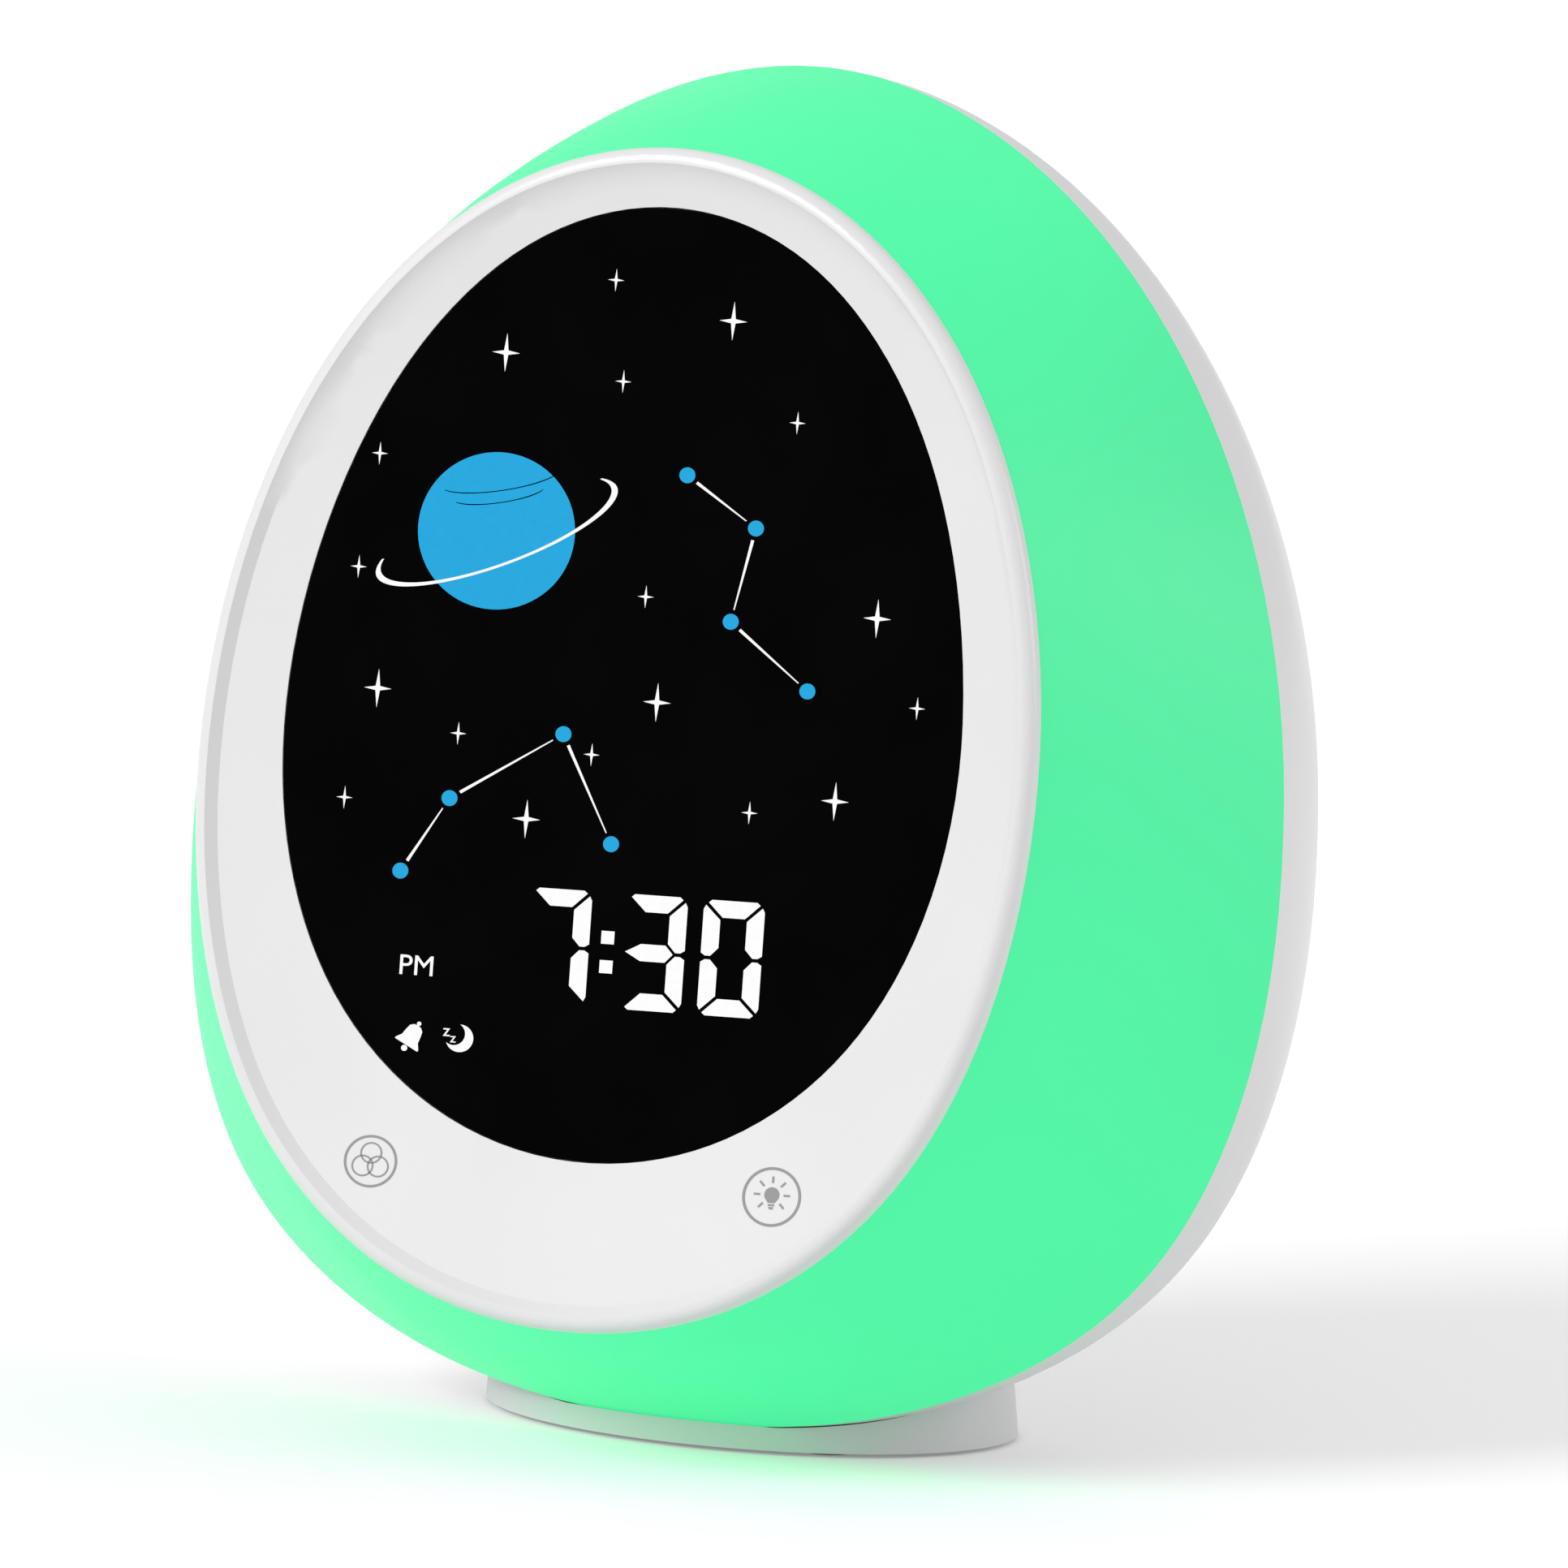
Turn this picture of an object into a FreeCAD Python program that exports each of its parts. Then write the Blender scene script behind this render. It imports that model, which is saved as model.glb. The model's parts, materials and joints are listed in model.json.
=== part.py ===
import FreeCAD, Part
import math
import os

from FreeCAD import Vector

# A bedside clock for a child's room, with an egg shaped face that leans back over a small foot.
# Everything but the foot is drawn in the frame of the face: X to the right, Y backwards and
# square to the face, Z up along the face, with its origin at the middle of the front rim.
# turn_to_world then leans it back and lifts it onto its foot. All sizes are millimetres.

# Stance
lean = 12.0
foot_lift = 2.0

# Egg outlines: half width, half height, height of the middle, and three shape numbers
rim_egg = dict(half_width=59.5, half_height=71.0, middle=0.0, taper=0.059, square=0.065, hip=-0.032)
lens_egg = dict(half_width=47.6, half_height=57.3, middle=6.6, taper=0.080, square=0.045, hip=0.023)
seam_egg = dict(half_width=78.7, half_height=81.6, middle=1.3, taper=0.188, square=0.114, hip=-0.105)
egg_points = 16

# Front bezel
rim_crest = 1.8
rim_roll = 1.6
rim_edge = 0.3
rim_shoulder = 1.9
dish_start = 3.2
dish_depth = 0.8
bezel_back = 3.0
skirt_depth = 8.0
skirt_wall = 1.6
skirt_inset = 3.0

# Lens and its tape
lens_thickness = 1.6
lens_gap = 0.15
tape_thickness = 0.2
tape_inset = 0.8
tape_width = 2.6
window_inset = 4.0

# Glowing diffuser
flare_depth = 30.4
flare_bulge = 0.5
diffuser_wall = 2.4
lip_length = 2.0
lip_wall = 1.2
lip_inset = 1.35
lap_gap = 0.12

# Rear housing
dome_depth = 26.0
dome_inset = 22.0
dome_stop = 82.0
dome_steps = 6
housing_wall = 2.2

# Case bosses and screws
boss_angles = (25.0, 155.0, 205.0, 335.0)
boss_inset = 8.2
boss_shoulder_radius = 3.4
boss_radius = 2.6
boss_end = 20.0
boss_gap = 0.2
tower_radius = 4.2
tower_bore = 3.2
head_seat = 42.0
screw_radius = 1.25
screw_gap = 0.05
screw_start = 12.0
head_radius = 2.8
head_height = 2.2
shank_clearance = 0.35

# Display board and its segment box
display_board_front = 10.0
board_thickness = 1.6
display_board_margin = 1.5
post_angles = (50.0, 130.0, 235.0, 305.0)
post_inset = 1.2
post_radius = 2.4
board_screw_radius = 1.0
board_screw_head = 2.0
board_screw_head_height = 1.3
board_screw_length = 7.0
seat_gap = 0.1
box_inset = 5.5
box_wall = 1.4
digit_centers = (-3.7, 9.2, 19.5)
digit_row = -24.7
digit_width = 8.2
digit_height = 13.7
segment_width = 1.5
segment_gap = 0.5
colon_x = 2.6
colon_rise = 1.9
colon_radius = 0.8
digit_block_margin = 2.0
motif_windows = ((-24.0, 26.0, 2.2), (-9.0, 40.0, 1.6), (-22.0, 4.0, 1.6), (8.0, 33.0, 2.2),
                 (25.0, 36.0, 1.6), (-6.0, 52.0, 2.2), (-30.0, -8.0, 2.2), (34.0, -4.0, 1.6))
disc_window = (20.0, 13.0, 10.5)
icon_windows = ((-18.5, -27.0, 2.6), (-16.5, -36.0, 2.2), (-10.8, -36.2, 2.2))

# Light ring and reflector
ring_board_front = 14.0
ring_board_thickness = 1.2
ring_board_outer = 3.5
ring_board_inner = 12.5
lamp_count = 12
lamp_size = (3.4, 1.9, 2.8)
reflector_front = 18.0
reflector_small_inset = 8.0
reflector_large_inset = 5.2
reflector_wall = 1.4
flange_thickness = 1.2
flange_width = 3.6
flange_gap = 0.3
reflector_boss_gap = 0.4

# Touch pads
touch_left = (-25.9, -53.1)
touch_right = (29.1, -51.8)
touch_radius = 4.6
touch_thickness = 0.3

# Keys on the back
key_count = 6
key_pitch = 11.0
key_row = 38.0
key_radius = 4.0
key_gap = 0.15
key_proud = 1.2
key_round = 0.6
key_flange_radius = 5.2
key_flange_height = 1.4
key_flange_gap = 0.25
key_travel = 0.9
key_recess_depth = 0.6
key_recess_margin = 2.6
switch_size = 6.0
switch_height = 3.5
switch_plunger_radius = 1.7
switch_plunger_height = 0.8
key_names = ("mode", "set", "down", "up", "alarm", "sound")
key_board_bottom = 27.0
key_board_top = 49.5
key_board_half = 33.0
key_posts = ((-24.0, 29.6), (24.0, 29.6), (-14.0, 46.6), (14.0, 46.6))
key_post_radius = 2.2

# Speaker
speaker_center = (0.0, 8.0)
speaker_radius = 18.0
speaker_rim = 2.0
speaker_depth = 16.0
magnet_radius = 9.5
magnet_depth = 5.0
cone_wall = 0.5
surround_width = 1.8
dust_cap_radius = 5.5
collar_gap = 0.25
collar_wall = 1.4
collar_depth = 5.0
grille_radius = 15.0
slot_width = 1.7
slot_pitch = 3.6
slot_rows = 9

# Battery compartment
bay_half = 29.0
bay_bottom = -51.0
bay_top = -15.0
bay_wall = 1.4
door_thickness = 2.0
door_gap = 0.3
barrel_radius = 1.55
hinge_pin_radius = 0.8
hinge_pin_length = 2.0
hinge_pin_gap = 0.08
hinge_end_gap = 0.25
hinge_block = (4.0, 6.0, 3.4)
door_rib_height = 0.75
door_rib_places = (-16.0, 0.0, 16.0)
finger_radius = 7.0
finger_depth = 1.0
cell_radius = 5.25
cell_pitch = 11.3
cell_body = 43.6
cell_nub = 0.9
cell_nub_radius = 1.9
cell_gap = 0.3
cell_round = 0.6
contact_thickness = 0.4
contact_bulge = 5.9
contact_half = 3.0
contact_height = 5.0

# Main board
main_board_front = 34.0
main_board_half = 38.0
main_board_bottom = -16.0
main_board_top = 30.0
main_posts = ((-33.0, 22.0), (33.0, 22.0), (-33.0, -10.0), (33.0, -10.0))
main_post_radius = 2.6
main_chips = ((-16.0, 14.0, 12.0, 12.0, 1.4), (14.0, 18.0, 10.0, 6.0, 1.4), (20.0, -6.0, 8.0, 5.0, 1.2))
capacitor_places = ((-29.0, 5.0), (29.5, 8.0))
capacitor_radius = 2.5
capacitor_height = 7.0

# Power inlet
inlet_x = 36.0
inlet_row = -1.7
inlet_width = 8.9
inlet_height = 3.2
inlet_depth = 7.3
inlet_wall = 0.35
inlet_set_back = 0.5
inlet_gap = 0.2
inlet_board_width = 14.0
inlet_board_length = 14.0
inlet_board_thickness = 1.2
rib_thickness = 1.4
rib_margin = 2.0

# Ribbon between the boards
ribbon_width = 12.0
ribbon_thickness = 0.5
ribbon_bend = 4.0
ribbon_low = -30.0
ribbon_high = -8.0
ribbon_turn = 23.0
ribbon_end_gap = 0.05

# Foot
foot_half_width = 35.0
foot_half_depth = 21.0
foot_center = 32.0
foot_draft = 1.2
foot_top = 15.0
foot_wall = 2.6
foot_web = 1.6
foot_fit = 0.12
tail_start = (37.0, 13.0)
tail_end = (54.0, 3.6)
pad_radius = 4.5
pad_height = 1.3
pad_proud = 0.5
pad_places = ((-18.0, -11.5), (18.0, -11.5), (-18.0, 11.5), (18.0, 11.5))
pad_boss_radius = 6.0
pad_gap = 0.1
foot_screw_x = 7.0
foot_screw_top = 13.0
foot_screw_head = 2.6
foot_screw_head_height = 1.5
foot_screw_boss = 3.4

back_axis = Vector(0, 1, 0)
origin = Vector(0, 0, 0)
lean_sin = math.sin(math.radians(lean))
lean_cos = math.cos(math.radians(lean))


def blended_egg(first, second, share):
    return {key: first[key] + (second[key] - first[key]) * share for key in first}


def resized_egg(egg, change):
    grown = dict(egg)
    grown["half_width"] = egg["half_width"] + change
    grown["half_height"] = egg["half_height"] + change
    return grown


def egg_point(egg, angle, depth):
    s = math.sin(math.radians(angle))
    swell = 1.0 - egg["taper"] * s + (egg["square"] + egg["hip"] * s) * (s * s - 0.5)
    x = egg["half_width"] * math.cos(math.radians(angle)) * swell
    return Vector(x, depth, egg["middle"] + egg["half_height"] * s)


def egg_wire(egg, depth):
    curve = Part.BSplineCurve()
    points = [egg_point(egg, 360.0 * i / egg_points, depth) for i in range(egg_points)]
    curve.interpolate(Points=points, PeriodicFlag=True)
    return Part.Wire(curve.toShape())


def egg_slab(egg, front, back):
    face = Part.Face(egg_wire(egg, front))
    return face.extrude(Vector(0, back - front, 0))


def egg_loft(sections, ruled=False):
    return Part.makeLoft([egg_wire(egg, depth) for egg, depth in sections], True, ruled)


def rod(x, z, radius, front, back):
    return Part.makeCylinder(radius, back - front, Vector(x, front, z), back_axis)


def block(x0, x1, y0, y1, z0, z1):
    return Part.makeBox(x1 - x0, y1 - y0, z1 - z0, Vector(x0, y0, z0))


def rounded_block(x0, x1, y0, y1, z0, z1, radius):
    body = block(x0, x1, y0, y1, z0, z1)
    edges = [e for e in body.Edges if abs(e.tangentAt(e.FirstParameter).y) > 0.9]
    return body.makeFillet(radius, edges)


def fused(first, others):
    shape = first.fuse(others) if others else first
    return shape.removeSplitter()


def face_frame_point(x, y, z):
    # a point given in the upright frame, with z measured from the ground
    drop = z - face_height
    return Vector(x, y * lean_cos - drop * lean_sin, y * lean_sin + drop * lean_cos)


def flare_egg(depth):
    share = (depth - rim_edge) / (flare_depth - rim_edge)
    egg = blended_egg(rim_egg, seam_egg, share)
    return resized_egg(egg, 4.0 * flare_bulge * share * (1.0 - share))


def dome_section(angle, wall):
    turn = math.radians(angle)
    inset = dome_inset * (1.0 - math.cos(turn)) + wall * math.cos(turn)
    depth = flare_depth + dome_depth * math.sin(turn) - wall * math.sin(turn)
    return resized_egg(seam_egg, -inset), depth


def dome_solid(wall):
    angles = [dome_stop * i / (dome_steps - 1) for i in range(dome_steps)]
    return egg_loft([dome_section(angle, wall) for angle in angles])


# The lowest point of the dome below the middle of the face sets how high the face stands
low_angle = math.degrees(math.atan2(dome_depth * lean_sin, dome_inset * lean_cos))
low_egg, low_depth = dome_section(low_angle, 0.0)
low_edge = low_egg["middle"] - low_egg["half_height"]
face_height = foot_lift - (low_edge * lean_cos - low_depth * lean_sin)

# Depths that follow from the dome
back_plane = dome_section(dome_stop, 0.0)[1]
inner_back = dome_section(dome_stop, housing_wall)[1]
cell_depth = back_plane - door_thickness - door_rib_height - cell_gap - cell_radius
bay_floor = cell_depth - cell_radius - cell_gap

boss_egg = resized_egg(rim_egg, -boss_inset)
boss_places = [egg_point(boss_egg, angle, 0.0) for angle in boss_angles]
post_egg = resized_egg(lens_egg, -post_inset)
post_places = [egg_point(post_egg, angle, 0.0) for angle in post_angles]

nodes = {}


def front_bezel():
    slab = egg_slab(rim_egg, -rim_crest, rim_edge)
    front_edges = [e for e in slab.Edges if abs(e.Vertexes[0].Point.y + rim_crest) < 1e-6
                   and abs(e.CenterOfMass.y + rim_crest) < 1e-6]
    body = slab.makeFillet(rim_roll, front_edges)
    body = body.fuse(egg_slab(resized_egg(rim_egg, -skirt_inset), rim_edge - 0.5, bezel_back))
    skirt = egg_slab(resized_egg(rim_egg, -skirt_inset), bezel_back - 0.5, skirt_depth)
    skirt = skirt.cut(egg_slab(resized_egg(rim_egg, -skirt_inset - skirt_wall), bezel_back - 1.0,
                               skirt_depth + 1.0))
    body = body.fuse(skirt)
    dish = egg_loft([(resized_egg(rim_egg, -rim_shoulder), -rim_crest - 0.01),
                     (resized_egg(rim_egg, -dish_start), -dish_depth),
                     (lens_egg, 0.0)], ruled=True)
    body = body.cut(dish)
    pocket = egg_slab(lens_egg, -rim_crest, lens_thickness + tape_thickness)
    window = egg_slab(resized_egg(lens_egg, -window_inset), -rim_crest, bezel_back + 1.0)
    body = body.cut(pocket).cut(window)
    pillars = []
    for place in boss_places:
        pillars.append(rod(place.x, place.z, boss_shoulder_radius, bezel_back - 0.4, ring_board_front - seat_gap))
        pillars.append(rod(place.x, place.z, boss_radius, bezel_back, boss_end))
    for place in post_places:
        pillars.append(rod(place.x, place.z, post_radius, bezel_back - 0.4, display_board_front - seat_gap))
    body = body.fuse(pillars)
    holes = []
    for place in boss_places:
        holes.append(rod(place.x, place.z, screw_radius + screw_gap, screw_start - 1.0, boss_end + 1.0))
    for place in post_places:
        holes.append(rod(place.x, place.z, board_screw_radius + screw_gap, post_hole_bottom, display_board_front))
    return body.cut(holes)


post_hole_bottom = display_board_front + board_thickness - board_screw_length


def display_lens():
    return egg_slab(resized_egg(lens_egg, -lens_gap), 0.0, lens_thickness)


def lens_tape():
    outer = resized_egg(lens_egg, -tape_inset)
    ring = egg_slab(outer, lens_thickness, lens_thickness + tape_thickness)
    return ring.cut(egg_slab(resized_egg(outer, -tape_width), lens_thickness - 1.0, lens_thickness + 1.0))


def diffuser_ring():
    middle = 0.5 * (rim_edge + flare_depth)
    outer = egg_loft([(flare_egg(d), d) for d in (rim_edge, middle, flare_depth)])
    inner = egg_loft([(resized_egg(flare_egg(d), -diffuser_wall), d)
                      for d in (rim_edge - 1.0, middle, flare_depth + 1.0)])
    band = outer.cut(inner)
    lip = egg_slab(resized_egg(seam_egg, -lip_inset), flare_depth - 0.6, flare_depth + lip_length)
    lip = lip.cut(egg_slab(resized_egg(seam_egg, -lip_inset - lip_wall), flare_depth - 1.0,
                           flare_depth + lip_length + 1.0))
    return fused(band, [lip])


def rear_slots():
    slots = []
    for row in range(slot_rows):
        offset = (row - (slot_rows - 1) / 2.0) * slot_pitch
        reach = math.sqrt(max(grille_radius ** 2 - offset ** 2, 1.0)) - slot_width / 2.0
        z = speaker_center[1] + offset
        half = slot_width / 2.0
        slots.append(rounded_block(speaker_center[0] - reach, speaker_center[0] + reach, inner_back - 1.0,
                                   back_plane + 1.0, z - half, z + half, half * 0.98))
    return slots


key_places = [((i - (key_count - 1) / 2.0) * key_pitch, key_row) for i in range(key_count)]
key_face = back_plane - key_recess_depth
key_flange_back = inner_back - key_flange_gap
key_flange_front = key_flange_back - key_flange_height
switch_top = key_flange_front - key_travel - 0.2
key_board_back = switch_top - switch_plunger_height - switch_height
key_board_front = key_board_back - board_thickness


def hinge_line():
    return bay_bottom + door_gap + barrel_radius, back_plane - barrel_radius


def rear_housing():
    shell = dome_solid(0.0).cut(dome_solid(housing_wall).fuse(
        egg_slab(resized_egg(seam_egg, -housing_wall), flare_depth - 1.0, flare_depth + 0.3)))
    shell = shell.cut(egg_slab(resized_egg(seam_egg, -lip_inset + lap_gap), flare_depth - 1.0,
                               flare_depth + lip_length + lap_gap))
    towers = [rod(p.x, p.z, tower_radius, boss_end + boss_gap, back_plane - 0.8) for p in boss_places]
    towers += [rod(x, z, key_post_radius, key_board_back + seat_gap, inner_back + 0.5) for x, z in key_posts]
    towers += [rod(x, z, main_post_radius, main_board_front + board_thickness + seat_gap, inner_back + 0.5)
               for x, z in main_posts]
    collar_radius = speaker_radius + collar_gap + collar_wall
    collar = rod(*speaker_center, collar_radius, inner_back - collar_depth, inner_back + 0.5)
    collar = collar.cut(rod(*speaker_center, speaker_radius + collar_gap, inner_back - collar_depth - 1.0,
                            inner_back))
    bay = block(-bay_half - bay_wall, bay_half + bay_wall, bay_floor - bay_wall, inner_back + 0.5,
                bay_bottom - bay_wall, bay_top + bay_wall)
    parts = towers + [collar, bay]
    pivot_z, pivot_y = hinge_line()
    block_x, block_z, block_y = hinge_block
    for side in (-1.0, 1.0):
        near = side * bay_half
        far = side * (bay_half + block_x)
        parts.append(block(min(near, far), max(near, far), inner_back - block_y, inner_back + 0.5,
                           pivot_z - block_z / 2.0, pivot_z + block_z / 2.0))
        rib_inner = inlet_x + side * (inlet_board_width / 2.0 + inlet_gap)
        rib_outer = rib_inner + side * rib_thickness
        parts.append(block(min(rib_inner, rib_outer), max(rib_inner, rib_outer),
                           inlet_board_front - rib_margin, inner_back + 0.5,
                           inlet_board_low - rib_margin, inlet_board_low + inlet_board_thickness + rib_margin))
    for side in (-1.0, 1.0):
        parts.append(foot_boss(side))
    body = shell.fuse(parts)
    cuts = []
    for place in boss_places:
        cuts.append(rod(place.x, place.z, tower_bore, head_seat, back_plane + 5.0))
        cuts.append(rod(place.x, place.z, screw_radius + shank_clearance, boss_end - 1.0, head_seat + 1.0))
    for x, z in key_posts:
        cuts.append(rod(x, z, board_screw_radius + screw_gap, key_board_back, key_board_screw_end + 0.5))
    for x, z in main_posts:
        cuts.append(rod(x, z, board_screw_radius + screw_gap, main_board_front,
                        main_board_front + board_screw_length + 0.5))
    for x, z in key_places:
        cuts.append(rod(x, z, key_radius + key_gap, inner_back - 1.0, back_plane + 1.0))
    recess_half = key_pitch * (key_count - 1) / 2.0 + key_radius + key_recess_margin
    recess_height = key_radius + key_recess_margin
    cuts.append(rounded_block(-recess_half, recess_half, key_face, back_plane + 1.0, key_row - recess_height,
                              key_row + recess_height, recess_height * 0.98))
    cuts += rear_slots()
    cuts.append(block(-bay_half, bay_half, bay_floor, back_plane + 1.0, bay_bottom, bay_top))
    for side in (-1.0, 1.0):
        start = bay_half - 0.5 if side > 0 else -bay_half - hinge_pin_length - hinge_end_gap
        hole = Part.makeCylinder(hinge_pin_radius + hinge_pin_gap, hinge_pin_length + hinge_end_gap + 0.5,
                                 Vector(start, pivot_y, pivot_z), Vector(1, 0, 0))
        cuts.append(hole)
        cuts.append(foot_screw_hole(side))
    finger = Part.makeSphere(finger_radius, Vector(0, back_plane + finger_radius - finger_depth, bay_top + 0.6))
    cuts.append(finger)
    half_width = inlet_width / 2.0 + inlet_gap
    half_height = inlet_height / 2.0 + inlet_gap
    cuts.append(rounded_block(inlet_x - half_width, inlet_x + half_width, inner_back - 1.0, back_plane + 1.0,
                              inlet_row - half_height, inlet_row + half_height, half_height * 0.6))
    return body.cut(cuts)


inlet_back = back_plane - inlet_set_back
inlet_board_low = inlet_row - inlet_height / 2.0 - inlet_board_thickness - 0.05
inlet_board_back = inner_back - 0.2
inlet_board_front = inlet_board_back - inlet_board_length
key_board_screw_end = key_board_front + board_screw_length


def foot_axis():
    return Vector(0, -lean_sin, lean_cos)


def foot_boss(side):
    base = face_frame_point(side * foot_screw_x, foot_center, foot_lift + 3.0)
    tall = Part.makeCylinder(foot_screw_boss, foot_screw_top + 1.0 - foot_lift - 3.0, base, foot_axis())
    return tall.common(dome_solid(housing_wall / 2.0))


def foot_screw_hole(side):
    base = face_frame_point(side * foot_screw_x, foot_center, 0.0)
    return Part.makeCylinder(screw_radius + screw_gap, foot_screw_top + 0.3, base, foot_axis())


def turn_to_world(shape):
    moved = shape.copy()
    moved.rotate(origin, Vector(1, 0, 0), -lean)
    moved.translate(Vector(0, 0, face_height))
    return moved


def ellipse_wire(half_x, half_y, z):
    long_axis = max(half_x, half_y)
    short_axis = min(half_x, half_y)
    turned = Vector(0, 0, 1)
    curve = Part.Ellipse(Vector(0, foot_center, z), long_axis, short_axis)
    curve.Axis = turned
    curve.XAxis = Vector(1, 0, 0) if half_x >= half_y else Vector(0, 1, 0)
    return Part.Wire(curve.toShape())


def foot_column(inset, bottom, top):
    low = ellipse_wire(foot_half_width - inset, foot_half_depth - inset, bottom)
    high = ellipse_wire(foot_half_width - inset - foot_draft, foot_half_depth - inset - foot_draft, top)
    return Part.makeLoft([low, high], True, True)


def body_solid(grow):
    # the outside of diffuser and dome as one closed form, grown by a clearance
    middle = 0.5 * (rim_edge + flare_depth)
    flare = egg_loft([(resized_egg(flare_egg(d), grow), d) for d in (rim_edge, middle, flare_depth)])
    return turn_to_world(flare.fuse(dome_solid(-grow)))


def base_foot():
    column = foot_column(0.0, pad_proud, foot_top)
    run = tail_end[0] - tail_start[0]
    fall = tail_end[1] - tail_start[1]
    far = tail_end[0] + run
    near = tail_start[0] - run
    low_far = tail_end[1] + fall
    high_near = tail_start[1] - fall
    above = Part.makePolygon([Vector(-60, near, high_near), Vector(-60, far, low_far),
                              Vector(-60, far, high_near + 30.0), Vector(-60, near, high_near + 30.0),
                              Vector(-60, near, high_near)])
    wedge = Part.Face(above).extrude(Vector(120, 0, 0))
    foot = column.cut(wedge)
    hollow = foot_column(foot_wall, pad_proud - 1.0, foot_top + 1.0).cut(body_solid(foot_fit + foot_web))
    wedge_in = wedge.copy()
    wedge_in.translate(Vector(0, 0, -foot_web))
    hollow = hollow.cut(wedge_in)
    for x, y in pad_places:
        hollow = hollow.cut(Part.makeCylinder(pad_boss_radius, foot_top + 2.0, Vector(x, foot_center + y, -1.0)))
    for side in (-1.0, 1.0):
        hollow = hollow.cut(Part.makeCylinder(foot_screw_head + foot_wall, foot_top + 2.0,
                                              Vector(side * foot_screw_x, foot_center, -1.0)))
    foot = foot.cut(hollow).cut(body_solid(foot_fit))
    for x, y in pad_places:
        foot = foot.cut(Part.makeCylinder(pad_radius + pad_gap, pad_height + pad_gap, Vector(x, foot_center + y, 0)))
    for side in (-1.0, 1.0):
        place = Vector(side * foot_screw_x, foot_center, 0)
        foot = foot.cut(Part.makeCylinder(foot_screw_head + pad_gap, pad_proud + foot_screw_head_height + 0.2, place))
        foot = foot.cut(Part.makeCylinder(screw_radius + shank_clearance, foot_top, place))
    return foot


def foot_pad(x, y):
    pad = Part.makeCylinder(pad_radius, pad_height, Vector(x, foot_center + y, 0))
    return pad.makeChamfer(0.25, [e for e in pad.Edges if abs(e.CenterOfMass.z) < 1e-6])


def screw(x, z, seat, end, shank, head, height):
    return fused(rod(x, z, shank, end, seat), [rod(x, z, head, seat, seat + height)])


def case_screws():
    return Part.makeCompound([screw(p.x, p.z, head_seat + 0.02, screw_start, screw_radius, head_radius, head_height)
                              for p in boss_places])


def board_screws(places, board_face, direction):
    # heads bear on the board face; direction is 1 for screws that run backwards
    group = []
    for x, z in places:
        gap = 0.02 * direction
        if direction > 0:
            head = rod(x, z, board_screw_head, board_face - board_screw_head_height - gap, board_face - gap)
            shank = rod(x, z, board_screw_radius, board_face - gap, board_face + board_screw_length)
        else:
            head = rod(x, z, board_screw_head, board_face - gap, board_face + board_screw_head_height - gap)
            shank = rod(x, z, board_screw_radius, board_face - board_screw_length, board_face - gap)
        group.append(fused(head, [shank]))
    return Part.makeCompound(group)


def display_board():
    board = egg_slab(resized_egg(lens_egg, display_board_margin), display_board_front,
                     display_board_front + board_thickness)
    holes = [rod(p.x, p.z, boss_shoulder_radius + 0.4, 0.0, 30.0) for p in boss_places]
    holes += [rod(p.x, p.z, board_screw_radius + 0.15, 0.0, 30.0) for p in post_places]
    return board.cut(holes)


def segment_slots(center_x):
    half_w = digit_width / 2.0
    half_h = digit_height / 2.0
    w = segment_width
    gap = segment_gap
    front = 0.0
    back = display_board_front
    slots = []
    for z in (half_h - w / 2.0, 0.0, -half_h + w / 2.0):
        slots.append(block(center_x - half_w + w + gap, center_x + half_w - w - gap, front, back,
                           digit_row + z - w / 2.0, digit_row + z + w / 2.0))
    for side in (-1.0, 1.0):
        x = center_x + side * (half_w - w / 2.0)
        for sign in (-1.0, 1.0):
            low = sign * (w / 2.0 + gap)
            high = sign * (half_h - w - gap)
            slots.append(block(x - w / 2.0, x + w / 2.0, front, back, digit_row + min(low, high),
                               digit_row + max(low, high)))
    return slots


def segment_box():
    front = lens_thickness + lens_gap
    back = display_board_front - seat_gap
    outer = resized_egg(lens_egg, -box_inset)
    tray = egg_slab(outer, front, back)
    tray = tray.cut(egg_slab(resized_egg(outer, -box_wall), front + box_wall, back + 1.0))
    left = digit_centers[0] - digit_width / 2.0 - digit_block_margin
    right = digit_centers[-1] + digit_width / 2.0 + digit_block_margin
    half = digit_height / 2.0 + digit_block_margin
    additions = [block(left, right, front, back, digit_row - half, digit_row + half)]
    windows = list(motif_windows) + [disc_window] + list(icon_windows)
    for x, z, radius in windows:
        additions.append(rod(x, z, radius + box_wall, front, back))
    tray = tray.fuse(additions)
    cuts = []
    for center_x in digit_centers:
        cuts += segment_slots(center_x)
    for sign in (-1.0, 1.0):
        cuts.append(rod(colon_x, digit_row + sign * colon_rise, colon_radius, 0.0, display_board_front))
    for x, z, radius in windows:
        cuts.append(rod(x, z, radius, 0.0, display_board_front))
    return tray.cut(cuts)


def ring_board():
    ring = egg_slab(resized_egg(rim_egg, -ring_board_outer), ring_board_front,
                    ring_board_front + ring_board_thickness)
    ring = ring.cut(egg_slab(resized_egg(rim_egg, -ring_board_inner), 0.0, 30.0))
    return ring.cut([rod(p.x, p.z, boss_radius + boss_gap, 0.0, 30.0) for p in boss_places])


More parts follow.
